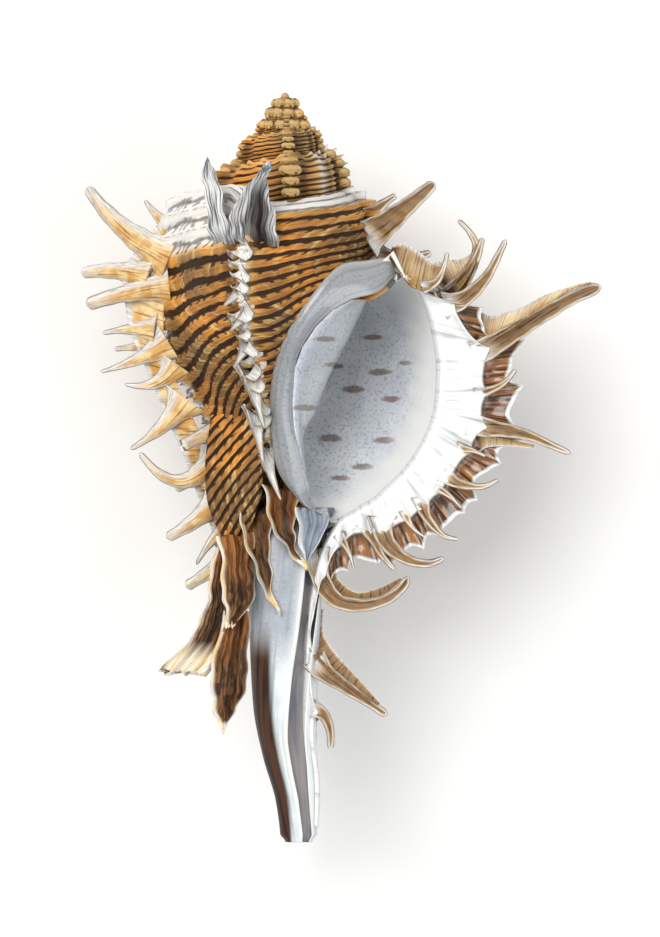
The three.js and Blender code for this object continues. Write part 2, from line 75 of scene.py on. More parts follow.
# The old lips (varices), as angles back from the lip.
LAST_VARICES = (0, 90, 172, 247)
EARLIER_VARICES = (0, 90, 184, 275)
VARICES = np.array(
    [-back for back in LAST_VARICES]
    + [-360 * whorl - back for whorl in range(1, 7) for back in EARLIER_VARICES]
)
# How far a varix swells, as a share of the radius, and its width in degrees before its crest and behind it.
VARIX_SWELL = 0.15
VARIX_RISE = 11
VARIX_DROP = 4
# The last whorl widens by this share over its last degrees.
LIP_SPREAD = 0.16
LIP_SPREAD_OVER = 50

# The cords along the whorls, and on the spire the lumps of the varices and the ribs between them.
CORD_SPACING = 2.75
CORD_HEIGHT = 0.6
LUMP_HEIGHT = 1.6
RIB_HEIGHT = 1.3
RIB_SPACING = 24
# The white ribs on the right of the spire are this many degrees back from the lip, and this wide.
PALE_FAN = 677
PALE_FAN_WIDTH = 13
# How far the shoulder is raised between the middle and the left varix, along the outline from its top.
RAISED_AT = (0.0, 5.0, 9.0, 13.0, 17.0, 21.0)
RAISED_BY = (3.5, 6.0, 7.5, 5.0, 2.0, 0.0)

RIGHT = np.array([1.0, 0.0, 0.0])
UP = np.array([0.0, 1.0, 0.0])
FORWARD = np.array([0.0, 0.0, 1.0])


def smooth(x, low, high):
    """3t^2 - 2t^3, where t runs from 0 at low to 1 at high."""
    t = np.clip((np.asarray(x, float) - low) / (high - low), 0, 1)
    return t * t * (3 - 2 * t)


def unit(vectors):
    """Each vector divided by its length."""
    return vectors / np.maximum(np.linalg.norm(vectors, axis=-1, keepdims=True), 1e-9)


def curve_at(points, t, closed=False):
    """The Catmull-Rom curve through the points, at parameters that count the points.

    Between b and c, with neighbours a and d, it is half of 2b + (c - a)t + (2a - 5b + 4c - d)t^2
    + (3b - a - 3c + d)t^3."""
    points = np.asarray(points, float)
    count = len(points)
    t = np.asarray(t, float)
    start = np.floor(t).astype(int)
    if not closed:
        start = np.clip(start, 0, count - 2)
    share = (t - start)[:, None]

    def neighbour(step):
        return points[(start + step) % count if closed else np.clip(start + step, 0, count - 1)]

    a, b, c, d = (neighbour(step) for step in (-1, 0, 1, 2))
    bend, twist = 2 * a - 5 * b + 4 * c - d, 3 * b - a - 3 * c + d
    return 0.5 * (2 * b + (c - a) * share + bend * share**2 + twist * share**3)


def rows_at(rows, count):
    """The curve through a table's rows, at even steps of its parameter."""
    return curve_at(rows, np.linspace(0, len(rows) - 1, count))


def row_for(rows, first):
    """The curve through a table's rows, where its first column has the given values, without that column."""
    rows = np.array(rows)
    return curve_at(rows, np.interp(first, rows[:, 0], np.arange(len(rows)))).T[1:, :, None]


def walked(points):
    """The length of the way along the points, up to each of them."""
    return np.concatenate([[0], np.cumsum(np.linalg.norm(np.diff(points, axis=0), axis=1))])


def even(points, count, closed=False):
    """The same curve at even steps of its length."""
    last = len(points) if closed else len(points) - 1
    fine = np.linspace(0, last, 40 * len(points))
    length = walked(curve_at(points, fine, closed))
    wanted = np.linspace(0, length[-1], count, endpoint=not closed)
    return curve_at(points, np.interp(wanted, length, fine), closed)


def wobble(x, y, seed):
    """A slow irregular wave between about -1 and 1: sines of unrelated lengths added together."""
    first = np.sin(x + 1.7 * np.sin(y * 0.6 + seed))
    return (first + np.sin(1.9 * x - y + 2.3 * seed) + np.sin(0.7 * y + 3.1 * seed)) / 2.4


def two_faces(count):
    """Shares across a thin sheet, 0 to 1 on its upper face and back on its lower one, and their signs."""
    share = np.concatenate([np.linspace(0, 1, count), np.linspace(1, 0, count)])
    return share, np.repeat([1.0, -1.0], count)


def place(points):
    """Points with z counted from the axis, in the part's own frame."""
    return points + AXIS_Z * FORWARD


def shown(name, data):
    """A new object in the scene for a mesh, a light or a camera."""
    made = bpy.data.objects.new(name, data)
    bpy.context.scene.collection.objects.link(made)
    return made


class Skin:
    """Closed surfaces gathered into one mesh, with named values at every vertex for the material to read."""

    # pale whitens a surface and deep darkens it: deep is the brown of grooves and hollows in places, and
    # painted shade in many others.
    VALUES = ("cord", "run", "pale", "deep")

    def __init__(self):
        self.points, self.quads, self.fans = [], [], []
        self.values = {name: [] for name in self.VALUES}
        self.count = 0

    def add(self, rings, **values):
        """Joins rings of points (steps, around, 3) by quads, wrapped across, with a fan over each end."""
        steps, around, _ = rings.shape
        grid = np.arange(steps * around).reshape(steps, around)
        beside = np.roll(grid, -1, axis=1)
        quads = np.stack([grid[:-1], beside[:-1], beside[1:], grid[1:]], -1).reshape(-1, 4)
        first, last = np.full(around, steps * around), np.full(around, steps * around + 1)
        fans = np.concatenate([
            np.stack([first, beside[0], grid[0]], -1), np.stack([last, grid[-1], beside[-1]], -1),
        ])
        points = np.concatenate([rings.reshape(-1, 3), rings[[0, -1]].mean(1)])
        if self.volume(points, quads, fans) < 0:
            quads, fans = quads[:, ::-1], fans[:, ::-1]
        self.points.append(points)
        self.quads.append(quads + self.count)
        self.fans.append(fans + self.count)
        for name in self.VALUES:
            spread = np.broadcast_to(values.get(name, 0.0), (steps, around))
            self.values[name].append(np.concatenate([spread.ravel(), spread[[0, -1]].mean(1)]))
        self.count += len(points)

    @staticmethod
    def volume(points, quads, fans):
        """The sum of a . (b x c) / 6 over the triangles, which is above 0 if they face outwards."""
        triangles = np.concatenate([quads[:, [0, 1, 2]], quads[:, [0, 2, 3]], fans])
        a, b, c = (points[triangles[:, i]] for i in range(3))
        return np.einsum("ij,ij->", a, np.cross(b, c)) / 6

    def make(self, name, material):
        """A mesh with its values as attributes, as a piece that rides on the root and replaces the solid."""
        points, quads, fans = (np.concatenate(part) for part in (self.points, self.quads, self.fans))
        corners = np.concatenate([quads.ravel(), fans.ravel()]).astype(np.int32)
        starts = np.concatenate([np.arange(len(quads)) * 4, 4 * len(quads) + np.arange(len(fans)) * 3])
        mesh = bpy.data.meshes.new(name)
        mesh.vertices.add(len(points))
        mesh.vertices.foreach_set("co", (place(points) * MM).astype(np.float32).ravel())
        mesh.loops.add(len(corners))
        mesh.loops.foreach_set("vertex_index", corners)
        mesh.polygons.add(len(starts))
        mesh.polygons.foreach_set("loop_start", starts.astype(np.int32))
        mesh.update(calc_edges=True)
        mesh.validate()
        mesh.polygons.foreach_set("use_smooth", np.ones(len(mesh.polygons), bool))
        for key, parts in self.values.items():
            values = np.concatenate(parts).astype(np.float32)
            mesh.attributes.new(key, "FLOAT", "POINT").data.foreach_set("value", values)
        mesh.materials.append(material)
        piece = shown(name, mesh)
        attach(piece, "root")
        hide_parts(NODE)
        return piece


# Materials


def rgb(red, green, blue):
    """A colour as a screen shows it, from 0 to 255, in the linear values that a shader takes."""
    shares = (np.array([red, green, blue]) / 255.0 + 0.055) / 1.055
    return (*(shares**2.4), 1.0)


ORANGE = rgb(224, 148, 62)
TAN = rgb(176, 120, 62)
OLIVE = rgb(122, 92, 56)
CREAM = rgb(240, 206, 138)
WHITE = rgb(234, 234, 230)
# The dark brown of the cord lines, also used for painted shade.
CORD_AND_SHADE_BROWN = rgb(48, 31, 17)
WARM_BROWN = rgb(132, 78, 34)
GREY_BROWN = rgb(118, 100, 80)


class Value:
    """One output of a node. Sums and products of values add the Math nodes that work them out."""

    def __init__(self, paint, socket):
        self.paint, self.socket = paint, socket

    def math(self, operation, *others):
        return self.paint.node("ShaderNodeMath", {"operation": operation}, *((self,) + others))

    def __add__(self, other):
        return self.math("ADD", other)

    __radd__ = __add__

    def __mul__(self, other):
        return self.math("MULTIPLY", other)

    __rmul__ = __mul__

    def __sub__(self, other):
        return self.math("SUBTRACT", other)

    def __rsub__(self, other):
        return self.paint.node("ShaderNodeMath", {"operation": "SUBTRACT"}, other, self)

    def wave(self):
        """0.5 + 0.5 cos(2 pi x): 1 at every whole number and 0 halfway between."""
        return (self * math.tau).math("COSINE") * 0.5 + 0.5

    def between(self, low, high):
        """A smooth step from 0 at low to 1 at high: 3t^2 - 2t^3."""
        settings = {"data_type": "FLOAT", "interpolation_type": "SMOOTHSTEP"}
        return self.paint.node("ShaderNodeMapRange", settings, self, low, high, 0.0, 1.0)

    def most(self, other):
        return self.math("MAXIMUM", other)

    def least(self, other):
        return self.math("MINIMUM", other)


class Paint:
    """A material being mixed: its nodes, and the shader that they feed."""

    def __init__(self, name, roughness, coat=0.0):
        self.material = bpy.data.materials.new(name)
        self.material.use_nodes = True
        self.tree = self.material.node_tree
        self.shader = self.tree.nodes["Principled BSDF"]
        self.shader.inputs["Roughness"].default_value = roughness
        self.shader.inputs["Coat Weight"].default_value = coat
        self.shader.inputs["Coat Roughness"].default_value = 0.15
        self.shader.inputs["Specular IOR Level"].default_value = 0.2 + coat
        self.place = self.node("ShaderNodeTexCoord", {}, output="Object")

    def node(self, kind, settings, *inputs, output=0, numbered=None, **named):
        """One output of a new node. Its sockets are given in order, by number or by name."""
        made = self.tree.nodes.new(kind)
        for key, value in settings.items():
            setattr(made, key, value)
        for key, value in [*enumerate(inputs), *(numbered or {}).items(), *named.items()]:
            self.feed(made.inputs[key.replace("_", " ") if isinstance(key, str) else key], value)
        return Value(self, made.outputs[output])

    def feed(self, socket, value):
        if isinstance(value, Value):
            self.tree.links.new(value.socket, socket)
        else:
            socket.default_value = value

    def values(self):
        """The values that a Skin keeps at its vertices: cord, run, pale and deep."""
        kind = "ShaderNodeAttribute"
        return [self.node(kind, {"attribute_name": name}, output="Fac") for name in Skin.VALUES]

    def axes(self):
        """The place on the object in millimetres, as x, y and z."""
        parts = [self.node("ShaderNodeSeparateXYZ", {}, self.place, output=i) for i in range(3)]
        return [part * (1 / MM) for part in parts]

    def noise(self, size, detail=3.0):
        """Noise between 0 and 1 whose lumps are about size millimetres across."""
        return self.node("ShaderNodeTexNoise", {}, Vector=self.place, Scale=1 / (size * MM), Detail=detail)

    def lines(self, x, y, shift, detail):
        """Noise between 0 and 1 over two values. It is drawn out along the one that counts for less."""
        where = self.node("ShaderNodeCombineXYZ", {}, x, y, shift)
        return self.node("ShaderNodeTexNoise", {}, Vector=where, Scale=1.0, Detail=detail)

    def mix(self, share, one, other):
        """A colour: one where the share is 0, and other where it is 1."""
        numbered = {0: share, 6: one, 7: other}
        return self.node("ShaderNodeMix", {"data_type": "RGBA"}, output=2, numbered=numbered)

    def finish(self, colour, height=None, depth=0.1):
        """The finished material, with a bump whose height between 0 and 1 stands for depth millimetres."""
        self.feed(self.shader.inputs["Base Color"], colour)
        if height is not None:
            bump = self.node("ShaderNodeBump", {}, Strength=1.0, Distance=depth * MM, Height=height)
            self.feed(self.shader.inputs["Normal"], bump)
        return self.material


def whorl_material():
    """Orange to brown, with dark lines in the grooves between the cords, beads that hang from them, white
    where pale, and dark brown where deep. The dark lines are the shell's brown lines and also painted shade
    in the grooves; deep is painted shade.
    """
    p = Paint("banded_shell", 0.6)
    cord, run, pale, deep = p.values()
    streaks = p.lines(run * 1.3, cord * 0.3, 0.0, 4)
    patches = p.noise(7.0, 2)
    ground = p.mix(patches.between(0.4, 0.62), ORANGE, TAN)
    ground = p.mix(p.noise(11.0, 2).between(0.44, 0.6) * 0.9, ground, OLIVE)
    ground = p.mix(streaks.between(0.48, 0.76) * 0.75, ground, CREAM)
    wander = p.lines(run * 0.3, cord * 2.0, 3.0, 2) - 0.5
    beads = (run * 0.62 + wander * 2.2).wave()
    # The dark lines sit in the grooves between the raised cords: the shell's brown lines, laid where the
    # grooves' shade falls, so partly painted shade.
    line = (cord + 0.5 + wander * 0.45).wave() + (beads - 0.5) * 0.14
    dots = (cord + 0.26 + wander * 0.12).wave().between(0.7, 0.95) * beads.between(0.6, 0.85)
    dark = (line - pale * 0.2).between(0.52, 0.82).most(dots * 0.9)
    broken = p.lines(run, cord, 7.0, 2).between(0.4, 0.6)
    thread = (cord * 2 + wander * 0.5).wave().between(0.88, 1.0) * broken
    colour = p.mix(pale, ground, p.mix(pale.between(0.4, 0.8), CREAM, WHITE))
    colour = p.mix(thread * 0.55, colour, WARM_BROWN)
    colour = p.mix(dark * (1 - pale * 0.35), colour, CORD_AND_SHADE_BROWN)
    # deep mixes in dark brown: painted shade beside the varices, on parts of the body and beside the spire's
    # lumps and ribs.
    colour = p.mix(deep, colour, CORD_AND_SHADE_BROWN)
    height = streaks * 0.5 + p.noise(0.5, 3) * 0.5 + (cord * 4).wave() * 0.5
    return p.finish(colour, height, 0.14)


def spine_material():
    """Yellowish white with brown lines along it, grey brown in the groove, white edges and tips, a painted
    highlight in white along one side of each closed back, and a dark brown painted shadow where deep passes
    1.
    """
    p = Paint("spine_horn", 0.45, coat=0.06)
    cord, run, pale, deep = p.values()
    lines = p.lines(run * 0.16, cord * 4.0, 0.0, 3)
    fine = p.lines(run * 0.5, cord * 9.0, 5.0, 3)
    ground = p.mix(p.noise(2.2, 3).between(0.38, 0.62), rgb(228, 200, 146), rgb(206, 158, 88))
    ground = p.mix(lines.between(0.5, 0.66) * 0.8, ground, WARM_BROWN)
    white = p.mix(fine.between(0.42, 0.64), rgb(230, 229, 222), rgb(176, 176, 178))
    colour = p.mix(pale, ground, white)
    groove = p.mix(fine.between(0.4, 0.62), GREY_BROWN, rgb(150, 108, 58))
    groove = p.mix(lines.between(0.52, 0.64), groove, rgb(70, 50, 36))
    colour = p.mix(deep, colour, groove)
    # Where deep passes 1, at the roots of the lip's webs under the rim, the dark brown is painted shadow.
    hollow = p.mix(fine.between(0.42, 0.6), rgb(112, 58, 24), rgb(48, 26, 14))
    colour = p.mix((deep - 1.0).between(0.0, 0.8), colour, hollow)
    return p.finish(colour, lines * 0.6 + fine * 0.4, 0.16)


def frond_material():
    """Dark brown and orange ribs along a fluted frond, whitish at its edges and its tip, and a painted shade
    down its sunk middle: dark brown, or near black on the grey white fronds.
    """
    p = Paint("fluted_frond", 0.5, coat=0.04)
    cord, run, pale, deep = p.values()
    ribs = (cord + p.noise(3.0, 2) * 2.4).wave()
    lines = p.lines(run * 0.2 + cord * 1.5, cord * 6.0, 0.0, 3)
    ground = p.mix(ribs.between(0.1, 0.9), rgb(66, 43, 26), rgb(136, 92, 50))
    ground = p.mix((1 - run.between(1.0, 9.0)) * 0.4, ground, rgb(196, 118, 46))
    ground = p.mix(lines.between(0.47, 0.64) * 0.85, ground, rgb(44, 27, 15))
    # deep is painted shade down the frond's middle.
    colour = p.mix(deep, ground, CORD_AND_SHADE_BROWN)
    colour = p.mix(pale, colour, p.mix(lines.between(0.45, 0.6), WHITE, CREAM))
    grey = p.mix(lines.between(0.44, 0.62), rgb(226, 226, 222), rgb(100, 100, 108))
    colour = p.mix(pale - 1, colour, p.mix(deep, grey, rgb(44, 34, 30)))
    return p.finish(colour, ribs * 0.6 + lines * 0.4, 0.2)


# Brown dashes inside the mouth: x, y, half length and half height.
DASHES = [
    (-2.4, 20.4, 2, 0.5), (5.3, 21, 1.9, 0.5), (-0.8, 16.4, 1.7, 0.5), (6.4, 15.4, 2, 0.6),
    (2.1, 12.6, 2, 0.7), (8.2, 11, 1.6, 0.6), (-5.6, 9.5, 2.2, 0.6), (-1.6, 4.7, 2, 0.7), (7.2, 4.4, 2, 0.6),
    (3.7, 0.1, 2, 0.6), (0, -1.7, 1.8, 0.5), (10.6, 16.8, 1.2, 0.4),
]


def enamel_material():
    """The porcelain of the mouth: a white lip with grey lines of painted shade for its folds, a throat
    painted blue grey for the shade deep in the mouth, with short brown dashes, dark grey painted shade on the
    throat's left wall and over the inner lip, and brown between the spines."""
    p = Paint("mouth_enamel", 0.22, coat=0.5)
    cord, run, pale, deep = p.values()
    x, y, _ = p.axes()
    grain = p.noise(0.5, 4)
    # The throat's blue grey, where the lip is white, is painted shade deeper in the mouth.
    throat = p.mix(run.between(0.05, 0.4), rgb(200, 205, 213), rgb(224, 228, 230))
    throat = p.mix(p.noise(5.0, 3).between(0.35, 0.65) * 0.35, throat, rgb(176, 183, 200))
    throat = p.mix(grain.between(0.5, 0.68) * 0.4, throat, rgb(96, 98, 108))
    marks = None
    for mark_x, mark_y, half_length, half_height in DASHES:
        across, up = (x - mark_x) * (1 / half_length), (y - mark_y) * (1 / half_height)
        mark = 1 - (across * across + up * up + (p.noise(0.8, 2) - 0.5) * 1.2).between(0.3, 1.2)
        marks = mark if marks is None else marks.most(mark)
    throat = p.mix(marks * 0.75, throat, rgb(112, 84, 60))
    colour = p.mix(pale, throat, WHITE)
    # Grey lines across the lip: painted shade of shallow grooves.
    folds = p.lines(cord * 2.2, run * 0.12, 0.0, 2)
    colour = p.mix(folds.between(0.48, 0.76) * 0.6, colour, rgb(126, 126, 132))
    lines = p.lines(cord * 5.0, run * 0.3, 2.0, 3)
    hollow = p.mix(lines.between(0.42, 0.6), rgb(164, 112, 66), rgb(70, 44, 28))
    # deep up to 0.6 mixes in dark grey: painted shade on the throat's left wall and over the inner lip; the
    # brown behind the lip's rim starts from it.
    colour = p.mix(deep.least(0.6), colour, rgb(76, 76, 66))
    colour = p.mix(deep.between(0.6, 0.8), colour, hollow)
    p.feed(p.shader.inputs["Coat Weight"], (1 - deep.least(1.0)) * 0.4)
    return p.finish(colour, grain * 0.3 + p.noise(3.0, 2), 0.1)


def canal_material():
    """White and pale blue with lines along the canal, dark brown down its left side, blue grey painted shade
    at its top under the mouth, and grey painted shade inside its slit.
    """
    p = Paint("canal_enamel", 0.45, coat=0.04)
    cord, run, pale, deep = p.values()
    lines = p.lines(run * 0.05, cord * 9.0, 0.0, 3)
    # The top of the canal, under the mouth, is painted blue grey with dark specks: painted shade.
    upper = 1 - run.between(84.0, 95.0)
    light = p.mix(upper, rgb(222, 229, 227), rgb(138, 146, 158))
    colour = p.mix(p.noise(4.0, 3).between(0.35, 0.65) * 0.5, light, rgb(170, 182, 190))
    colour = p.mix(p.noise(0.5, 4).between(0.5, 0.7) * upper * 0.4, colour, rgb(86, 88, 98))
    colour = p.mix(lines.between(0.48, 0.66) * 0.6, colour, rgb(112, 118, 130))
    colour = p.mix(pale, colour, WHITE)
    brown = p.mix(lines.between(0.4, 0.6), rgb(78, 50, 32), rgb(38, 26, 20))
    colour = p.mix(deep, colour, brown)
    # Inside the slit, grey: painted shade in the groove.
    slit = p.mix(lines.between(0.4, 0.6), rgb(112, 114, 128), rgb(160, 155, 152))
    colour = p.mix((deep - 1.0).between(0.0, 0.8), colour, slit)
    return p.finish(colour, lines, 0.12)


# Whorls


def coil(angle, radius, depth):
    """A point of the coil: radius and depth grow by WHORL_GROWTH in each turn about the axis."""
    size = WHORL_GROWTH ** (angle / 360)
    turn, radius = np.radians(angle), radius * size
    return np.stack([AXIS_X + radius * np.cos(turn), APEX_Y - depth * size, radius * np.sin(turn)], -1)


def swell(angle, rise=VARIX_RISE, drop=VARIX_DROP):
    """1 on each varix's crest: exp(-(angle past it / width)^2), which is wider before it than behind it."""
    past = angle[..., None] - VARICES
    return np.exp(-((past / np.where(past < 0, rise, drop)) ** 2)).max(-1)


def shrunk(rings, shares):
    """Rings drawn in towards the coiling axis, each to its own share of its distance from it."""
    middle = np.array([AXIS_X, 0, 0])
    share = shares[:, None]
    return (rings - middle) * np.stack([share, np.ones_like(share), share], -1) + middle


def cord_phase(angle, along):
    """Counts the cords down the whorl: along / CORD_SPACING, less a sweep and plus a rise that grow by
    smooth steps, so that the lower cords run down to the left and up to the right."""
    sweep = 3.2 * smooth(angle, -250, -165) * smooth(along, 14, 52)
    rise = 1.7 * smooth(angle, -256, -300) * smooth(along, 14, 30)
    return along / CORD_SPACING - sweep + rise + 0.06 * wobble(angle / 9, along / 3, 1.0)


def whorl_rings(angles, line):
    """Outline points carried round the coil, and the values for the material.

    Each point is raised along the outline's normal by the cords, CORD_HEIGHT times a power of a cosine wave
    of the cords' count, and on the spire by lumps and ribs. The radius swells by VARIX_SWELL on each varix
    and by LIP_SPREAD at the lip. The last whorl's foot is tucked in behind the mouth, and its shoulder is
    raised."""
    slope = unit(np.gradient(line, axis=0))
    normal = np.stack([slope[:, 1], -slope[:, 0]], -1)
    along = walked(line)
    angle = angles[:, None]
    radius, depth = line[None, :, 0], line[None, :, 1]
    worn = smooth(angle, -292, -316) * smooth(depth, 44, 49) * (angle > -366)
    crest = swell(angle) * (1 - worn)
    cord = cord_phase(angle, along[None])
    run = np.radians(angle) * radius * WHORL_GROWTH ** (angle / 360)
    old = smooth(angle, -330, -420)
    ends = smooth(along, 0.4, 3.0) * (1 - smooth(along, along[-1] - 12, along[-1]))
    ridge = (0.5 + 0.5 * np.cos(math.tau * cord)) ** 1.5
    between = (0.5 + 0.5 * np.cos(math.tau * angle / RIB_SPACING)) ** 2
    height = CORD_HEIGHT * (ridge - 0.4) * (1 + 1.3 * crest) * ends
    height = (height + 0.07 * wobble(run * 3.2, along[None] * 1.2, 2.0) * ends) * (1 - worn)
    lumps = LUMP_HEIGHT * swell(angle, 14, 10) + RIB_HEIGHT * between
    height = height + old * (0.35 + 0.65 * ridge) * lumps
    spread = LIP_SPREAD * smooth(angle, -LIP_SPREAD_OVER, 0) * smooth(depth, 26, 36)
    tucked = 0.8 * smooth(angle, -60, -6) * smooth(depth, 67, 73)
    wide = (1 + VARIX_SWELL * crest + spread) * (1 - tucked)
    window = smooth(angle, -257, -232) * (1 - smooth(angle, -182, -150))
    raised = window * np.interp(along, RAISED_AT, RAISED_BY)
    lower = depth + normal[:, 1] * height - tucked * (depth - 70) - raised
    surface = coil(angle, radius * wide + normal[:, 0] * height + 0.2 * raised, lower)
    return surface, (cord, run, *whorl_colours(angle, along, cord, run, crest, old, between, tucked, window))


def whorl_colours(angle, along, cord, run, crest, old, between, tucked, window):
    """How pale and how dark the whorls are. White: the shoulder, each varix's crest, the tucked foot and
    the ribs on the right of the spire. Dark, all painted shade: beside each varix on its steep side, in
    uneven patches right of the middle varix and low on the body, and on the spire between its ribs on the
    right and beside its lumps."""
    ridge = (0.5 + 0.5 * np.cos(math.tau * cord)) ** 1.5
    shoulder = 1 - smooth(along - 8.5 * window, 6.6, 8.8)
    side = np.clip(np.cos(np.radians(angle)), 0, 1) ** 3
    pale = np.clip(0.9 * shoulder + crest**5, 0, 1) * (1 - old)
    pale = pale + old * (0.25 * shoulder + 0.75 * side * between)
    pale = np.maximum(pale, tucked / 0.8)
    fan = np.exp(-(((angle + PALE_FAN) / PALE_FAN_WIDTH) ** 2))
    pale = np.maximum(pale, 0.95 * fan * (0.5 + 0.5 * ridge))
    # Painted shade: a dark band beside each varix's crest, on its steep side.
    behind = smooth(swell(angle - 9, 8, 6), 0.2, 1.0) * smooth(along, 6, 12)
    uneven_shade = 0.6 + 0.4 * wobble(run * 0.25, along[None] * 0.3, 5.0)
    # Painted shade right of the middle varix and low on the body, broken into uneven patches.
    shade = 0.34 * smooth(angle, -246, -266) + 0.36 * smooth(along[None], 22, 42) * smooth(angle, -262, -240)
    deep = (np.maximum(0.6 * behind, shade * uneven_shade) * (1 - crest**3)) * (1 - old)
    # On the spire, painted shade between the ribs on its right side and beside each lump.
    deep = deep + old * (0.55 * side * (1 - between) + 0.5 * swell(angle + 13, 6, 6))
    return pale, deep


CORE_POINTS = 14


def whorl_loops(angles, line):
    """The raised outline closed by a return close to the axis, and its values with noughts on the return."""
    surface, values = whorl_rings(angles, line)
    shares = np.linspace(1, 0, CORE_POINTS + 2)[None, 1:-1]
    depth = line[0, 1] + (line[-1, 1] - line[0, 1]) * shares
    core = coil(angles[:, None], CORE_RADIUS + 0 * depth, depth)
    values = [np.pad(part, ((0, 0), (0, CORE_POINTS))) for part in values]
    return np.concatenate([surface, core], 1), dict(zip(Skin.VALUES, values))


# The spire's spans: first and last angle, rings, and points of each ring's outline.
SPIRE_SPANS = ((-360 * WHORLS, -1080, 130, 46), (-1084, -720, 130, 62), (-724, -356, 230, 100))


def make_spire(material):
    """The whorls before the last, each as far down as the next one leaves it showing."""
    skin = Skin()
    covered = [row for row in OUTLINE if row[1] <= COVERED_DEPTH]
    for start, end, steps, points in SPIRE_SPANS:
        angles = np.linspace(start, end, steps)
        rings, values = whorl_loops(angles, even(covered, points))
        skin.add(shrunk(rings, 1 - 0.012 * smooth(angles, end - 4, end)), **values)
    neck_sheet(skin)
    return skin.make("spire", material)


# The mouth's edge, clockwise from its top: x, y and z above the axis.
MOUTH = [
    (9.9, 30.2, 8.5), (12.5, 28.4, 4.5), (14.9, 23.6, 3), (16.2, 17.2, 2.6), (16, 10.8, 2.4),
    (14.1, 4.4, 2.4), (10.4, -1.2, 2.4), (5.6, -5.7, 2.6), (0.8, -8.7, 2.8), (-2.4, -8.4, 3.2),
    (-4.5, -6.5, 3.8), (-5, -2.5, 5.2), (-6.6, 2.6, 6.8), (-7.5, 7.9, 8.2), (-7.5, 12.7, 9.8),
    (-6.6, 17.8, 11.6), (-3.4, 22.8, 12.6), (1.1, 26.3, 12.4), (6.1, 26.8, 10.6),
]
# The hollow of the whorl behind it, point for point: radius and depth at the lip's size.
HOLLOW = [
    (15.6, 31.6), (18, 32.6), (19.9, 37), (20.2, 43), (19.4, 49), (17.6, 54.5), (14.9, 60.2), (11.7, 65),
    (8.6, 68), (5.8, 68.4), (4, 66), (3.6, 62), (3.6, 57), (4, 52), (5, 47.5), (6.8, 43.5), (9.2, 39),
    (12, 35), (13.8, 32.8),
]
HOLLOW_TURN = 150
CLEAR_OF_WHORL = 1.1


def throat(loop, share):
    """The mouth's lining: its edge blends into the hollow's outline, while both turn back round the axis.

    loop counts the points of MOUTH, and share runs from 0 at the edge to 1 at the far end. Where the whorl
    behind would show, the wall is pushed out to lie CLEAR_OF_WHORL above it."""
    edge = curve_at(MOUTH, loop.ravel(), closed=True).reshape(*loop.shape, 3)
    inside = curve_at(HOLLOW, loop.ravel(), closed=True).reshape(*loop.shape, 2)
    angle = -HOLLOW_TURN * share**1.25
    size = WHORL_GROWTH ** (angle / 360)
    turned = 1 - (1 - np.clip(share / 0.42, 0, 1)) ** 2
    narrowed = inside[..., 0] * size * (1 - 0.25 * smooth(share, 0.6, 1))
    radius = (edge[..., 0] - AXIS_X) * (1 - turned) + narrowed * turned
    y = edge[..., 1] * (1 - turned) + (APEX_Y - inside[..., 1] * size) * turned
    turn = np.radians(angle)
    x = radius * np.cos(turn)
    z = radius * np.sin(turn) + edge[..., 2] * (1 - smooth(share, 0, 0.5))
    out, way = np.hypot(x, z), np.degrees(np.arctan2(z, x))
    behind = WHORL_GROWTH ** ((way - 360) / 360)
    depth = (APEX_Y - y) / behind
    whorl = np.interp(depth, *np.array(OUTLINE).T[::-1], left=0, right=0) * behind
    whorl = np.where((way < -4) & (depth > COVERED_DEPTH), 0, whorl) + CLEAR_OF_WHORL
    out = np.maximum(out, np.where(share > 0.001, whorl, 0))
    turn = np.radians(way)
    return np.stack([AXIS_X + out * np.cos(turn), y, out * np.sin(turn)], -1)


OUTLINE_POINTS = 168
LAST_STEPS = 330
THROAT_STEPS = 60
# Where the loop round the mouth starts, passes from outer to inner lip, and ends, in points of MOUTH.
MOUTH_LOOP = (-0.6, 9.0, 18.4)


def make_body(material, enamel):
    """The last whorl from where the spire ends to the lip, and back into the mouth as one closed skin."""
    angles = np.linspace(-364, 0, LAST_STEPS)
    rings, values = whorl_loops(angles, even(OUTLINE, OUTLINE_POINTS))
    rings = shrunk(rings, 1 - 0.014 * (1 - smooth(angles, -364, -360)))
    start, turn, end = MOUTH_LOOP
    inner_side = np.linspace(turn, end, CORE_POINTS + 2)[1:-1]
    loop = np.concatenate([np.linspace(start, turn, OUTLINE_POINTS), inner_side])[None]
    share = np.linspace(0, 1, THROAT_STEPS)[:, None] ** 1.3
    inner = throat(loop + 0 * share, share + 0 * loop)
    edge = curve_at(MOUTH, np.linspace(0.5, 8.6, 60), closed=True)[:, :2]
    away = np.linalg.norm(inner[:, :, None, :2] - edge, axis=-1).min(-1)
    left_wall = smooth(loop, 9.6, 11.4) * (1 - smooth(loop, 16.4, 17.6))
    lining = {
        "cord": 0 * away,
        "run": share + 0 * loop,
        # White near the lip's edge, fading further in to the throat's blue grey painted shade.
        "pale": smooth(away + 0.8 * wobble(inner[..., 1] * 0.9, away, 3.0), 7.0, 1.4),
        # Painted shade on the left wall of the throat, near its mouth.
        "deep": 0.3 * left_wall * smooth(share, 0.01, 0.1) * (1 - smooth(share, 0.3, 0.7)),
    }
    values = {name: np.concatenate([value, lining[name]]) for name, value in values.items()}
    skin = Skin()
    skin.add(np.concatenate([rings, inner]), **values)
    body = skin.make("body_whorl", material)
    body.data.materials.append(enamel)
    faces = np.zeros(len(body.data.polygons), np.int32)
    around = rings.shape[1]
    faces[LAST_STEPS * around : (LAST_STEPS + THROAT_STEPS - 1) * around] = 1
    body.data.polygons.foreach_set("material_index", faces)
    return body


# Spines and fronds


SECTION_POINTS = 40
RUFFLE = 0.12
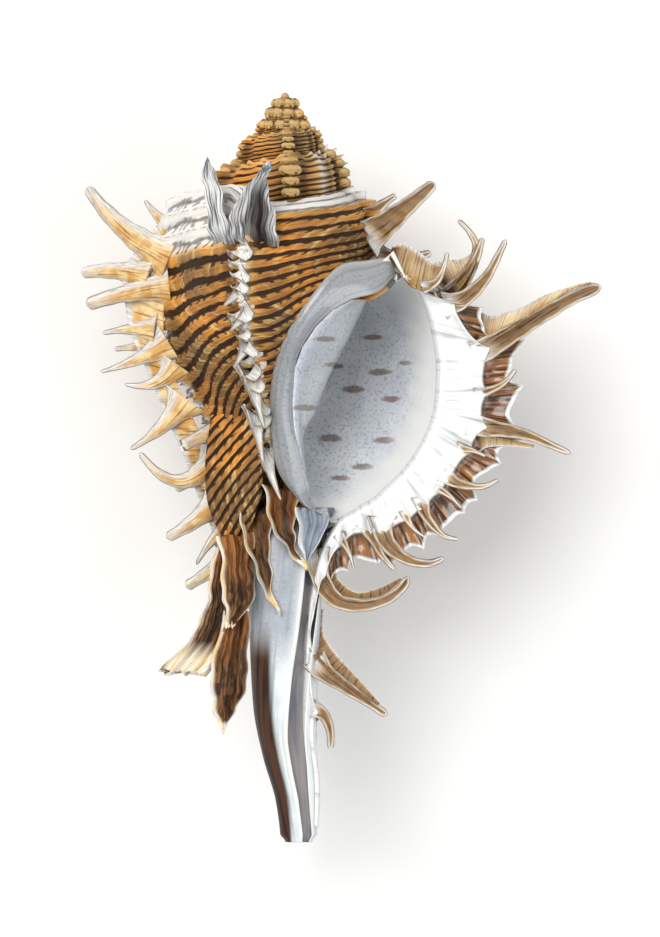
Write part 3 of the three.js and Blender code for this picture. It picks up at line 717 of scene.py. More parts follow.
# Where along a spine its groove turns from white to brown: by default near the root, or nowhere.
BROWN_FROM_ROOT = (0.02, 0.25)
WHITE_ALL_OVER = (2.0, 3.0)


def bent(base, tip, bow, face):
    """The parabola b(1 - t)^2 + 2ct(1 - t) + et^2 from base b to tip e, with c the bow off their middle."""
    base, tip, face = (np.array(v, float) for v in (base, tip, face))
    across = unit(np.cross(face, tip - base))
    control = (base + tip) / 2 + across * bow
    t = np.linspace(0, 1, 24)[:, None]
    return base * (1 - t) ** 2 + 2 * control * t * (1 - t) + tip * t**2


def fold(skin, path, face, base, tip, groove_share=BROWN_FROM_ROOT, steps=90, seed=0.0, flare=0.25):
    """A spine grown as an open fold: a crescent section carried along the path.

    The back of the section is the half ellipse (cos a, -0.75 sin a). The groove is a shallower one between
    the edges, which ruffle along the length. The half width falls from base to tip as (1 - s)^1.5, with a
    flare exp(-length / 1.5) across it at the root, and the end is rounded off over the last tenth."""
    path = even(path, steps)
    length = walked(path)[:, None]
    share = length / length[-1]
    ahead = unit(np.gradient(path, axis=0))
    side = unit(np.cross(face, ahead))
    up = np.cross(ahead, side)
    half = 0.5 * (tip + (base - tip) * (1 - share) ** 1.5)
    half = half * np.sqrt(np.clip(1 - smooth(share, 0.93, 1.0) ** 2, 0.004, 1))
    half = half * (1 + 0.07 * wobble(length * 1.1, seed, seed))
    wide = half * (1 + flare * np.exp(-length / 1.5))
    turn = np.linspace(0, math.pi, SECTION_POINTS // 2, endpoint=False)[None]
    edge = 0.3 + RUFFLE * wobble(length * 1.6, np.cos(turn) * 2 + seed, seed + 1) * (1 - share * 0.5)
    outer = np.stack([np.cos(turn) + 0 * share, -0.75 * np.sin(turn) + edge * np.cos(turn) ** 4], -1)
    groove = edge + 0.1 - np.sin(turn) ** 0.7 * (0.85 - 0.25 * share)
    inner = np.stack([-0.86 * np.cos(turn) + 0 * share, groove], -1)
    section = np.concatenate([outer, inner], 1)
    across = section[..., 0]
    lines = 1 + 0.035 * np.sin(across * 22 + 2 * wobble(length * 0.2, seed, seed))
    rings = path[:, None] + side[:, None] * (across * lines * wide)[..., None]
    rings = rings + up[:, None] * (section[..., 1] * lines * half)[..., None]
    inside = np.repeat([0.0, 1.0], SECTION_POINTS // 2)[None]
    from_edge = 1 - np.abs(across)
    rim = 0.38 / np.maximum(half, 0.3)
    brown = smooth(share, *groove_share)
    white = smooth(from_edge, rim * 1.2, rim * 0.6) + 0.5 * smooth(share, 0.5, 1.0)
    # One side of each spine's closed back is painted white: a painted highlight on the side towards the
    # light.
    white = white + 0.8 * (1 - inside) * smooth(across * np.sign(ahead[:, :1] + 1e-9), -0.1, -0.6)
    white = white + inside * (1 - brown)
    outline = smooth(from_edge, 0.24 / np.maximum(half, 0.3), 0.08 / np.maximum(half, 0.3))
    deep = np.maximum(inside * smooth(from_edge, rim * 0.9, rim * 1.6) * brown, 0.9 * outline)
    skin.add(rings, cord=across * half / 1.1 + seed, run=length, pale=np.clip(white, 0, 1), deep=deep)


# Spines of the last lip, from the top down: the path's x, y, z points, base width, tip width, and how far the
# lip's edge is drawn out along it.
LIP_SPINES = [
    ([(13, 28.6, 6.4), (15.3, 29.6, 6.8), (16.5, 31.8, 7.1), (17.1, 34.3, 7.2)], 1.9, 0.7, 0.8),
    ([(16.6, 25.9, 3.6), (19.2, 26.6, 4), (21.8, 28.6, 4.6), (24, 31.4, 5.2), (26.5, 36.4, 6)], 3.6, 1, 1.6),
    ([(18, 27.6, 1.6), (20.3, 30.8, 1.6), (21.9, 33.8, 1.2), (22.8, 36.8, 1)], 3.4, 1, 0),
    ([(18.6, 28.6, 0.4), (21.2, 32.4, 0.4), (21.8, 35.3, 0), (20.8, 37.6, -0.6), (18.9, 39.7, -1.4)],
     3, 0.7, 0),
    ([(21.4, 18, 3.3), (24.6, 19.6, 3.7), (27.2, 21.2, 4), (32.8, 24.6, 4.6), (37.6, 27.3, 5),
      (41.7, 28.9, 5.2)], 3.7, 2.1, 2.2),
    ([(21.6, 11.6, 3.3), (24.8, 12.7, 3.6), (26.6, 13.9, 4.2), (28.1, 15.7, 4.8)], 1.9, 0.7, 1.6),
    ([(20.6, 7.2, 3.3), (23.2, 6.4, 3.5), (27.2, 5.8, 3.8), (30.4, 5, 4), (33.6, 3.6, 4.2), (36.9, 2.2, 4.4)],
     3.6, 1, 2.2),
    ([(18.6, 3.2, 3.4), (21.2, 2.7, 3.8), (23.2, 1.8, 4.2)], 1.7, 0.5, 1.2),
    ([(16.4, -0.9, 3.4), (18.2, -2.2, 3.8), (20.4, -2.9, 4.2), (22.9, -3, 4.6), (25.4, -1.9, 5)],
     2.5, 0.7, 1.2),
    ([(15.2, -3, 3.3), (17, -4.2, 3.7), (18.2, -5.2, 4), (19.4, -6.5, 4.2)], 1.6, 0.4, 1),
    ([(12.9, -4.6, 3.3), (13.5, -7.2, 3.8), (14.8, -9.2, 4.3), (16.6, -10.9, 4.8), (18.9, -11.5, 5.2)],
     2.6, 0.7, 1.2),
    ([(10.2, -6.8, 3.3), (11, -8.7, 3.6), (12, -10, 3.9), (13.5, -11.1, 4.2)], 1.6, 0.4, 0.8),
    ([(6.6, -7.8, 3.3), (6.7, -9.9, 3.7), (8, -12.6, 4.2), (10.8, -14.7, 4.7), (14.1, -15.3, 5.1),
      (16.7, -14.4, 5.4)], 3.8, 1.1, 1.4),
    ([(3.6, -8.6, 3.2), (5.2, -11.2, 3.4), (6.7, -14, 3.4), (8.8, -16.4, 3.3)], 2.4, 0.8, 1),
    ([(-0.2, -10.6, 3.2), (0.8, -12.3, 3.3), (1.6, -14, 3.3), (2.2, -16.2, 3.2)], 1.7, 0.4, 0.8),
    ([(-4, -13, 2.9), (-3, -18, 3), (-0.6, -21.2, 3.4), (3.2, -22, 4), (7, -21.2, 4.6), (9.6, -19.4, 5),
      (11, -17.3, 5.2)], 3.8, 1.6, 1.4),
    ([(-4.2, -30.6, 2.2), (-2.4, -32.8, 2.6), (1.4, -35.4, 2.9), (7.6, -39.6, 3.2)], 3.6, 1.3, 1.6),
    ([(-4.6, -38.4, 1.6), (-2.6, -39.6, 1.8), (-1.6, -42, 1.8), (-1.5, -45, 1.7)], 2.6, 1.1, 1.2),
]
# Frills between a spine's edge and a free margin, from the root outwards: x, y, z of the edge and of the
# margin. Then how brown each one is.
WEBS = [
    [(21.8, 19.4, 3, 21.8, 25.6, 0.6), (23, 19.6, 3.6, 23.8, 24.3, 0.8), (25.3, 20.9, 4.5, 26.9, 24.9, 1.2),
     (27.9, 22.5, 4.9, 29.7, 25.9, 2.2), (30.5, 24.4, 5.2, 32.7, 27.5, 3.4),
     (36.8, 28.2, 5.6, 36.8, 28.9, 4.8), (40, 29.4, 5.6, 40, 29.7, 5.2)],
    [(21.4, 5.6, 2.6, 22, 2.2, 1.2), (23.4, 5.2, 3.2, 23.6, 3.2, 1.6), (27.2, 4.4, 3.6, 27, 3.4, 2.4),
     (31, 3.6, 3.8, 31, 3, 3)],
    [(17.6, 27.4, 2.4, 14.8, 32.6, -1), (19.2, 28.6, 2.4, 16.6, 33.2, -1.2),
     (20.6, 30.6, 2.2, 19.4, 33.4, -0.8), (21.8, 33, 1.8, 21.2, 34.4, 0.2)],
    [(9.4, 30.8, 4.6, 9.8, 34.9, 1.6), (11.4, 29.6, 3.8, 12.8, 34.2, 0.4), (13.6, 28.4, 3.2, 15.8, 32, -0.8),
     (16.4, 27, 2.8, 18, 30, -0.8)],
    [(7.8, 33.2, 9, 8.3, 35.2, 8.4), (9.3, 31, 8.6, 10.4, 35.6, 7.6), (11.4, 28.6, 6.9, 12.8, 34.2, 6.4),
     (14.4, 28.6, 6.2, 14.9, 32.6, 5.6), (16, 31.2, 6, 16.2, 32.4, 5.6), (17, 33.8, 6, 17, 34.4, 5.8)],
    [(-3.6, -12.6, 2, -2, -12.2, 0.4), (-3, -16.6, 2.4, -1.2, -15.6, 0.6),
     (-1.4, -19.8, 2.8, 0.2, -18.2, 1.2), (2.2, -21.2, 3.4, 2.8, -19.9, 2), (6.4, -20.6, 4, 6.2, -19.2, 2.8),
     (9.8, -18, 4.8, 9.6, -17.6, 4.2)],
    [(-5.2, -23.6, 1.8, -2.6, -22.6, 0.2), (-5.2, -28.2, 2, -2.6, -26.4, 0.4),
     (-3.2, -31.2, 2.4, -0.8, -29.4, 1), (0.8, -34.4, 2.8, 2, -32.6, 1.8), (6, -38, 3.1, 6.4, -37.6, 2.6)],
]
WEB_BROWN = (0, 0, 0, 0, 0.45, 0.9, 0.9)
# Spines of the left varix: base x, y, tip x, y, bow, base width, tip width, and how much higher the tip lies.
LEFT_SPINES = [
    (-27, 33.6, -40.6, 45, 2.6, 6.2, 1.8, -2), (-24.6, 36.6, -31.4, 43, 1, 4.4, 0.7, -5),
    (-30.4, 30.4, -41.6, 31.2, -1.4, 4.4, 2, -5), (-27.4, 29, -40.6, 26, -0.8, 4.6, 2, 1),
    (-29.4, 22, -38.1, 21.5, -0.8, 3.6, 0.7, -3), (-27.6, 19.4, -36.3, 19, -0.4, 3.2, 0.8, -7),
    (-27.4, 20, -38.4, 15.3, 1, 4.4, 0.6, 0), (-26, 16.6, -34.6, 13.4, 3.2, 4.6, 0.6, -1),
    (-24.6, 11, -33.6, 2.9, 1.4, 5, 0.8, 0), (-19.6, 5.8, -25.2, 3.4, -0.4, 2.8, 2, 6),
    (-19.4, 2.6, -32, 2.4, 9.4, 4.8, 1, 2), (-21, -1.6, -26.3, -3.6, -0.6, 3.4, 1.2, -6),
    (-17.6, 2, -19.5, -8.2, -3.4, 3.4, 0.6, 4), (-18.4, -4, -27.8, -11.3, 1.2, 5, 1.7, 0),
    (-15.4, -7.4, -23, -15.6, -1.6, 4.2, 0.6, 1), (-15.6, -12.4, -24.8, -19.2, 0.6, 3.6, 1.8, -4),
]
LEFT_SPINE_Z = -1.0
# Spines of the middle varix: base x, y, z, tip x, y, z, bow, base width, tip width.
MIDDLE_SPINES = [
    (-14, 30.4, 14.2, -18.4, 25.6, 17.6, 0.4, 4.4, 0.6),
    (-13.6, 26.4, 14.2, -17.4, 21.6, 17.8, 0.4, 4.2, 0.6), (-14.2, 21.6, 12.6, -16.8, 15.8, 17, 0.4, 4, 0.6),
    (-14.6, 16.4, 10.4, -12, 6.2, 13.6, -0.4, 4.4, 0.6), (-13.6, 9.6, 7, -12.2, 0.8, 10.4, -0.4, 3.8, 0.6),
    (-12.6, 4.4, 5.2, -9.4, -5.2, 8.6, -0.6, 4.2, 0.5),
]
# Broad fronds, from root to tip: x, y, z of the left edge and of the right one. Then how far the middle
# sinks, the flutes across, the share that is white and the shade in the middle. First the two on the
# shoulder, which are grey white all over, then those round the neck and down the left of the canal.
GREY_WHITE = 2.1
FRONDS = [
    ([(-16.8, 33.6, 11, -9.6, 34, 12), (-17.6, 37, 17.2, -9.6, 36, 18.2),
      (-17.4, 39.4, 17.4, -10.2, 38.6, 18), (-16, 43, 17.2, -11, 42.2, 17),
      (-13.6, 45.8, 17, -11.4, 45.4, 16.6), (-11.5, 47.9, 16.6, -11.2, 47.7, 16)], 0.9, 3.5, GREY_WHITE, 1),
    ([(-19.6, 33.8, 7, -16.6, 34, 10), (-20.6, 36.2, 13.4, -16.8, 36, 16.6),
      (-21, 38.8, 14.2, -17.6, 39, 16.6), (-21.6, 42.6, 14.4, -18.6, 43, 15.6),
      (-21.9, 45.8, 14.2, -19.4, 46, 14.8), (-21.4, 48.6, 13.8, -20.4, 48.2, 14)], 0.8, 1.5, GREY_WHITE, 0.1),
    ([(-12.5, -2.6, 7.6, -6.4, -4.2, 5.4), (-11.8, -7, 7.8, -6.8, -7.4, 5.6),
      (-10.4, -10.6, 7.6, -7.2, -10.4, 5.6), (-8.2, -13.8, 7, -6.6, -13.2, 5.8),
      (-5.3, -16.4, 6.4, -5.1, -16, 6.2)], 1.7, 1.5, 0.16, 0.8),
    ([(-16.4, -7, 6, -11, -7.4, 5.6), (-15.5, -10.5, 7.4, -11, -10.2, 5.6),
      (-13.9, -15.6, 7.8, -11, -14.6, 5.6), (-12, -19.9, 7, -10.8, -19.2, 5.6),
      (-9.9, -23.6, 6.2, -9.4, -23.2, 6)], 1.9, 1.5, 0.3, 0.7),
    ([(-19.6, -10.8, 3.8, -14, -10.4, 5.4), (-18.9, -15.6, 4.6, -13.8, -15.4, 6),
      (-18.7, -19.6, 5, -13.6, -18.4, 6.2), (-18.4, -22.6, 5.2, -14.4, -22.2, 6),
      (-18, -25, 5.4, -16.8, -25, 5.6)], -0.9, 2.5, 0.06, 0.4),
    ([(-20, -12.6, 0.8, -17.4, -13.2, 2.2), (-20.7, -17.4, 1.4, -18.3, -18, 2.8),
      (-21.6, -22.4, 1.6, -18, -23.8, 3), (-24, -27.3, 1.6, -18.9, -28.2, 2.6),
      (-29, -32.4, 1.4, -21.4, -32.4, 1.8)], -0.8, 4.5, 0.26, 0.7),
    ([(-18, -21.6, 2.6, -14.6, -23, 3.4), (-20, -29, 2.6, -14.7, -30.4, 3.6),
      (-20.6, -35.4, 2.4, -15.4, -35.9, 3.2), (-19.8, -39.6, 2.2, -17.2, -39.6, 2.6),
      (-19, -41.8, 2, -18.6, -41.8, 2.2)], -1, 2.5, 0.2, 0.6),
]
# The banded neck between the last cords and the fronds, given as the fronds are.
NECK = [
    (-20.4, 10.2, -3, -12.4, 10, 4.4), (-21, 5.6, 1.6, -12.4, 5.6, 7), (-21.6, 0, 1.8, -12.4, 0.6, 6.8),
    (-21.2, -5.4, 2, -12.4, -3.6, 6.6), (-19.8, -9.4, 2.2, -13.6, -7.8, 6),
    (-18, -12.6, 2.4, -15.4, -11.4, 4.6),
]
NECK_CORDS = CORD_SPACING * 0.72
# The pleated corner between the neck and the canal.
PLEATS = [
    (-7.4, -6.4, 5.4, -1.5, -6.6, 5), (-6.9, -9.6, 5.4, -2.1, -9.6, 5.4),
    (-6.3, -13.2, 5.4, -3.9, -13.1, 5.4), (-5.6, -16.4, 5.4, -5.1, -16.2, 5.4),
]
# Spines of the varix underneath. The three longest reach the floor.
REST_Z = LOWEST[2] - AXIS_Z + 1.1
BACK_SPINES = [
    (-4.6, 30.6, -16, 3.4, 35.4, REST_Z, 0.8, 6, 1.9), (-13, 29.2, -16, -20.4, 33, REST_Z, -0.8, 5.6, 1.9),
    (-8.6, 25.4, -18.5, -8, 27.4, -29, 0.4, 4.8, 1.2), (-7.2, 20, -18.5, -3, 20, -28.4, -0.8, 4.4, 1),
    (-10.2, 14.6, -18, -15, 13.6, -28.2, 0.8, 4.6, 1.1), (-7.6, 9, -16, -2.4, 6, -26, -0.8, 4.2, 1),
    (-10, 3.4, -13.8, -14.2, 0, -25, 0.8, 4.4, 1.1), (-8.4, -1.8, -10.8, -4, -6.8, -24, 1.2, 4.2, 1),
    (-9, -9, -6, -9.6, -21.6, REST_Z, 4.6, 6, 1.9), (-8.8, -15.2, -2.8, -12.4, -26.6, -16, 1.8, 4.6, 1.4),
    (-8.6, -26, -2.6, -6, -35.6, -12, -1.4, 4, 1.2),
]
# The varix of the whorl before, right above the mouth.
RIGHT_SPINES = [
    (4, 36.4, 4.6, 15.1, 45.4, 6.4, -0.4, 5.6, 1.9), (3.2, 38.6, 2, 9, 43.6, -1, 0.6, 4.2, 1),
    (6, 33, 2.4, 14.6, 34.4, 0, -1, 4.6, 1.2),
]


def lip_spines(skin):
    """Folds along the paths of LIP_SPINES, with their grooves towards the viewer."""
    for i, (path, base, tip, _) in enumerate(LIP_SPINES):
        fold(skin, np.array(path), FORWARD, base, tip, seed=i * 1.7)


def back_turned_spines(skin, rows, z):
    """Level spines seen from their closed side: the groove faces down."""
    for i, (x0, y0, x1, y1, bow, width, tip_width, rise) in enumerate(rows):
        path = bent((x0, y0, z), (x1, y1, z + rise), -bow, -FORWARD)
        fold(skin, path, -FORWARD, width, tip_width, seed=i * 1.7, flare=0.7)


def free_spines(skin, rows, face, groove_share=BROWN_FROM_ROOT):
    """Spines given by both ends in space. The groove faces the given way."""
    for i, (x0, y0, z0, x1, y1, z1, bow, width, tip_width) in enumerate(rows):
        path = bent((x0, y0, z0), (x1, y1, z1), bow, face)
        fold(skin, path, face, width, tip_width, groove_share, seed=40 + i * 1.3)


# A thin sheet's rings, the points across each face of it, and half its thickness.
SHEET_STEPS = 110
SHEET_POINTS = 22
SHEET_HALF = 0.28


class Sheet:
    """A thin curved sheet between an edge and a margin, each given by points: the straight line between them,
    sunk by sag sin(pi s)^0.7 at the share s of the way across, and raised by a relief."""

    def __init__(self, rows, sag):
        rows = rows_at(rows, SHEET_STEPS)
        self.edge, self.margin = rows[:, None, :3], rows[:, None, 3:]
        share, side = two_faces(SHEET_POINTS)
        self.share, self.side = share[None, :, None], side[None, :, None]
        self.span = np.linspace(0, 1, SHEET_STEPS)[:, None, None]
        self.length = self.span * np.linalg.norm(rows[-1, :3] - rows[0, :3])
        self.width = np.linalg.norm(self.margin - self.edge, axis=-1, keepdims=True)
        self.drop = sag * np.sin(np.pi * self.share) ** 0.7 * np.clip(self.width / 5, 0.1, 1)

    def add(self, skin, relief, **values):
        """Puts the sheet in the skin, both faces raised by the relief."""
        flat = self.edge + (self.margin - self.edge) * self.share
        rings = flat + FORWARD * (self.side * SHEET_HALF - self.drop + relief)
        skin.add(rings, **{name: value[..., 0] for name, value in values.items()})


def lip_web(skin, rows, brown, seed):
    """A sheet between two spines of the lip, with ribs that fan out towards its white margin, some webs
    brown, and a painted shadow in dark brown at its root under the rim and along the spine's edge.
    """
    sheet = Sheet(rows, 1.3)
    share, length = sheet.share, sheet.length
    root = 1 - smooth(length, 0, 2.6)
    pale = smooth(share, 0.86, 0.97) * 0.9 + 0.35 * (1 - root) * smooth(share, 0.2, 0.8) * (1 - brown)
    # deep over 1 is a dark brown painted shadow at the web's root and along its edge; brown is the web's own
    # colour.
    deep = np.maximum(brown, 1.9 * np.clip(root + 0.35 * smooth(share, 0.5, 0.0), 0, 1))
    sheet.add(skin, 0.12 * share * wobble(length * 3.2, share + seed, seed),
              cord=length * 0.9, run=share * 3, pale=pale, deep=deep * (1 - smooth(share, 0.8, 0.95)))


def neck_sheet(skin):
    """The sheet of NECK, with cords that slant across it: 0.3 times a cosine wave of their count."""
    sheet = Sheet(NECK, -1.6)
    cord = (sheet.length + sheet.share * sheet.width * 0.9) / NECK_CORDS
    sheet.add(skin, 0.3 * np.cos(cord * math.tau), cord=cord, run=sheet.share * sheet.width,
              deep=0.2 * smooth(sheet.span, 0.7, 1))


def frond(skin, rows, sag, flutes, white, shade, seed):
    """A sheet with wavy edges, a ragged end, and flutes along it: cosine waves a tenth of its width high."""
    sheet = Sheet(rows, sag)
    share, length, width, span = sheet.share, sheet.length, sheet.width, sheet.span
    ragged = 0.9 * smooth(span, 0.75, 1) * wobble(share * 16, seed, seed) * UP
    waves = [np.array([0.4, 0.2, 0.0]) * wobble(length * 0.8, seed, k + seed) for k in (0, 1)]
    sheet.edge, sheet.margin = sheet.edge + waves[0] + ragged, sheet.margin + waves[1] + ragged
    rim = smooth(share * width, 0.8, 0.4) + smooth((1 - share) * width, 0.3, 0.1)
    pale = np.clip(rim * 0.85 + smooth(span, 1 - white, 1 - 0.4 * white), 0, 1)
    grey = white >= GREY_WHITE
    middle = np.sin(np.pi * share**1.5) ** (1.2 if grey else 2)
    # deep: painted shade down the sunk middle of the upper face.
    deep = shade * middle * (1 - smooth(span, 0.6, 1.0)) * (sheet.side > 0)
    sheet.add(skin, 0.1 * width * np.cos(share * math.tau * flutes + wobble(length * 0.35, share, seed)),
              cord=(share - 0.5) * width / 1.6, run=length, pale=np.maximum(pale, 2.0 * grey), deep=deep)


# Scales on a varix, one to a cord: its angle, first and last depth, reach, width, and how far down they lean.
SCALES = [(-247, 32.0, 78.0, 3.4, 4.6, 0.7), (-172, 28.0, 80.0, 3.0, 2.6, 0.35)]


def varix_scales(skin):
    """Folds that stand on the crest of a varix and lean back and down, at even steps of depth."""
    for angle, first, last, reach, width, down in SCALES:
        for i, depth in enumerate(np.arange(first, last, CORD_SPACING)):
            radius = np.interp(depth, *np.array(OUTLINE).T[::-1]) * (1 + 0.6 * VARIX_SWELL)
            root = coil(angle + 2, radius, depth)
            back = unit(coil(angle - 12, radius, depth) - root)
            outward = unit((root - [AXIS_X, root[1], 0]))
            lean = 0.75 * back + 0.55 * outward - down * UP
            tip = root + lean * reach * (0.75 + 0.35 * math.sin(i * 2.3))
            path = [root - outward * 0.8, root + outward * 0.7, (root + tip) / 2 + outward * 0.7, tip]
            face = unit(np.cross(np.cross(tip - root, outward), tip - root) + 0.4 * UP)
            wide = width * (0.9 + 0.2 * math.sin(i * 1.3))
            fold(skin, path, face, wide, 0.45 * wide, WHITE_ALL_OVER, steps=30, seed=i * 0.9)


def make_spines(material):
    """Each group of spines is a piece of its own, so that none has too many faces."""
    groups = {name: Skin() for name in ("lip_spines", "left_spines", "varix_scales", "back_spines")}
    lip, left, scales, back = groups.values()
    lip_spines(lip)
    for i, (rows, brown) in enumerate(zip(WEBS, WEB_BROWN)):
        lip_web(lip, rows, brown, seed=i * 2.1)
    back_turned_spines(left, LEFT_SPINES, LEFT_SPINE_Z)
    varix_scales(scales)
    free_spines(scales, MIDDLE_SPINES, unit(0.5 * RIGHT + FORWARD), WHITE_ALL_OVER)
    free_spines(back, BACK_SPINES, -RIGHT)
    free_spines(back, RIGHT_SPINES, FORWARD)
    for name, skin in groups.items():
        skin.make(name, material)


def make_fronds(material):
    """The fronds of FRONDS, each with waves of its own."""
    skin = Skin()
    for i, (rows, sag, flutes, white, shade) in enumerate(FRONDS):
        frond(skin, rows, sag, flutes, white, shade, seed=i * 1.9)
    return skin.make("fronds", material)


# Lip


# The outer lip, from its top to the foot of the canal: the inner edge's x and y, the rim's x and y, and z.
LIP = [
    (6.5, 32.6, 8.2, 34.2, 8.5), (9.9, 30.6, 11.6, 28.4, 6.5), (12.6, 28.3, 16.6, 25.6, 4.6),
    (14.9, 23.6, 20, 21.4, 3.6), (16.2, 17.2, 21.9, 16.9, 3.4), (16, 10.8, 21.6, 10.8, 3.4),
    (15.4, 7.6, 20.4, 5, 3.4), (14.1, 4.4, 18.2, 0.9, 3.4), (12.4, 1.4, 16, -1.7, 3.4),
    (10.4, -1.2, 13.4, -4.7, 3.4), (8, -3.6, 10.7, -7.1, 3.4), (5.6, -5.7, 7.5, -8.6, 3.4),
    (2.6, -7.4, 2.4, -9.7, 3.3), (-0.6, -9.6, -0.9, -12.6, 3.2), (-3, -14, -2.9, -17.4, 3),
    (-4.6, -21, -4.2, -23, 2.6), (-5.2, -27.5, -5.2, -28.6, 2.4), (-5.4, -35, -4.9, -35.8, 2),
    (-5.3, -43, -4.6, -43.2, 1), (-4.6, -50, -3.8, -50.2, -0.2), (-4.4, -57, -3.9, -57.4, -1.4),
]
LIP_STATIONS = 640
RIM_RISE = 0.7
FRILL_BELOW = 1.7
FRILL_WIDTH = 3.4
# A section across the lip, from the inner edge over the rim to the frill and back below: share of the face,
# distance past the rim, share of the rim's rise, height, share of the frill's width and of the depth below.
LIP_SECTION = [
    (0, -0.9, 0, -1.2, 0, 0), (0, -0.6, 0, -0.55, 0, 0), (0, -0.3, 0, -0.18, 0, 0), (0, 0.05, 0, 0, 0, 0),
    (0.15, 0, 0, 0.05, 0, 0), (0.3, 0, 0, 0.04, 0, 0), (0.45, 0, 0, 0, 0, 0), (0.6, 0, 0.05, 0, 0, 0),
    (0.75, 0, 0.25, 0, 0, 0), (0.88, 0, 0.6, 0, 0, 0), (1, -0.3, 0.95, 0, 0, 0), (1, 0, 1.1, 0, 0, 0),
    (1, 0.28, 0.9, 0, 0, 0), (1, 0.42, 0.3, 0, 0, 0), (1, 0.45, 0, -0.5, 0, 0), (1, 0.5, 0, -1.1, 0, 0),
    (1, 0.62, 0, -FRILL_BELOW, 0, 0), (1, 0.2, 0, -FRILL_BELOW - 0.35, 0.35, 0),
    (1, 0, 0, -FRILL_BELOW - 0.3, 0.65, 0), (1, 0, 0, -FRILL_BELOW + 0.1, 0.9, 0),
    (1, 0, 0, -FRILL_BELOW + 0.35, 1, 0), (1, 0.1, 0, -FRILL_BELOW + 0.1, 1, 0),
    (1, 0, 0, -FRILL_BELOW - 0.7, 0.9, 0), (1, 0, 0, -FRILL_BELOW - 1.3, 0.6, 0), (1, 0, 0, -1, 0.2, -0.55),
    (0.6, 0, 0, 0, 0, -0.85), (0.2, 0, 0, 0, 0, -1), (0, -0.5, 0, 0, 0, -0.8), (0, -0.9, 0, 0, 0, -0.5),
]


def make_lip(material):
    """The thickened outer lip: an inner edge, a white face, a rolled rim and the brown frill behind it.

    Each ring is LIP_SECTION, stretched between the two edges. Where a spine leaves the rim, the rim sinks
    into a channel exp(-(distance / half width)^2), and rim and frill are drawn out along the spine."""
    fine = rows_at(LIP, LIP_STATIONS)
    inner, rim = fine[:, [0, 1, 4]], fine[:, 2:]
    share = np.linspace(0, 1, LIP_STATIONS)
    body = 1 - smooth(share, 0.6, 0.8)
    frill_width = 0.1 + (FRILL_WIDTH - 0.1) * body * smooth(share, 0, 0.12)
    depth = 1.8 + 4.4 * body
    channel = np.zeros(LIP_STATIONS)
    drawn, frill = np.zeros((2, LIP_STATIONS, 3))
    for path, width, _, push in LIP_SPINES:
        start, ahead = np.array(path[0][:2]), np.array(path[1][:2])
        way = unit(ahead - start)
        offset = rim[:, :2] - start
        beside = np.abs(offset @ np.array([-way[1], way[0]]))
        close = smooth(np.abs(offset @ way), 5, 3)
        channel = np.maximum(channel, np.exp(-((beside / (width * 0.36)) ** 2)) * close * (push > 0))
        drawn[:, :2] += way * (push * np.exp(-beside / (0.34 * width + 0.4)) * close)[:, None]
        frill[:, :2] += way * (1.3 * push * np.exp(-beside / (0.5 * width + 0.6)) * close)[:, None]
    rim = rim + drawn
    out = unit((rim - inner) * [1, 1, 0])
    rise = RIM_RISE * (1 - 1.3 * channel)
    face, past, rises, level, frills, depths = even(LIP_SECTION, 72, closed=True).T
    on_frill = np.clip(frills, 0, 1)
    width = np.linalg.norm((rim - inner)[:, :2], axis=1)
    along = walked(rim)[:, None]
    outward = width[:, None] * face + past + frills * frill_width[:, None]
    outward = outward + 0.35 * wobble(along * 1.2, 0, 9.0) * on_frill * body[:, None]
    height = rises * rise[:, None] + level + depths * depth[:, None]
    height = height - 0.3 * channel[:, None] * (face > 0.3) * (frills < 0.1)
    height = height + 0.28 * wobble(along * 1.9, frills * 2, 4.0) * np.clip(frills * 1.4, 0, 1)
    rings = inner[:, None] + out[:, None] * outward[..., None] + height[..., None] * FORWARD
    rings = rings + frill[:, None] * on_frill[None, :, None]
    hollow = smooth(past + frills * 3, 0.42, 0.7) * (1 - smooth(frills, 0.8, 1.0))
    pale = (1 - 0.2 * smooth(face, 0.6, 0.1)) * (1 - hollow * 0.4)
    skin = Skin()
    skin.add(rings, cord=along * 0.4, run=face * 5, pale=pale, deep=hollow)
    return skin.make("outer_lip", material)


# The inner lip, a smooth band on the left of the mouth: outer x, y, z, inner x, y, z, from top to bottom.
INNER_LIP = [
    (8.6, 33.6, 7, 9.4, 31.4, 6.5), (4.6, 33, 9, 6.2, 28, 10.6), (-0.2, 32, 12, 1.4, 26.4, 12.2),
    (-4.3, 27.6, 13.6, -3.3, 23, 12.6), (-8, 22.2, 12.9, -6.6, 17.9, 11.6),
    (-10.2, 17.1, 11.1, -7.4, 12.7, 9.8), (-11.2, 11.1, 9.2, -7.5, 7.9, 8.2),
    (-10.9, 4.8, 7.2, -6.5, 2.6, 6.8), (-9.9, -0.6, 5.9, -5, -2.4, 5.2), (-7.1, -4.7, 5, -4.4, -5.8, 4.4),
    (-4.9, -6.6, 5.2, -2.6, -7.4, 4.6), (-2.1, -6.3, 4.9, -1.4, -9.2, 4),
]
INNER_LIP_RISE = 0.9
INNER_LIP_DEEP = 3.2
INNER_LIP_LENGTH = 50


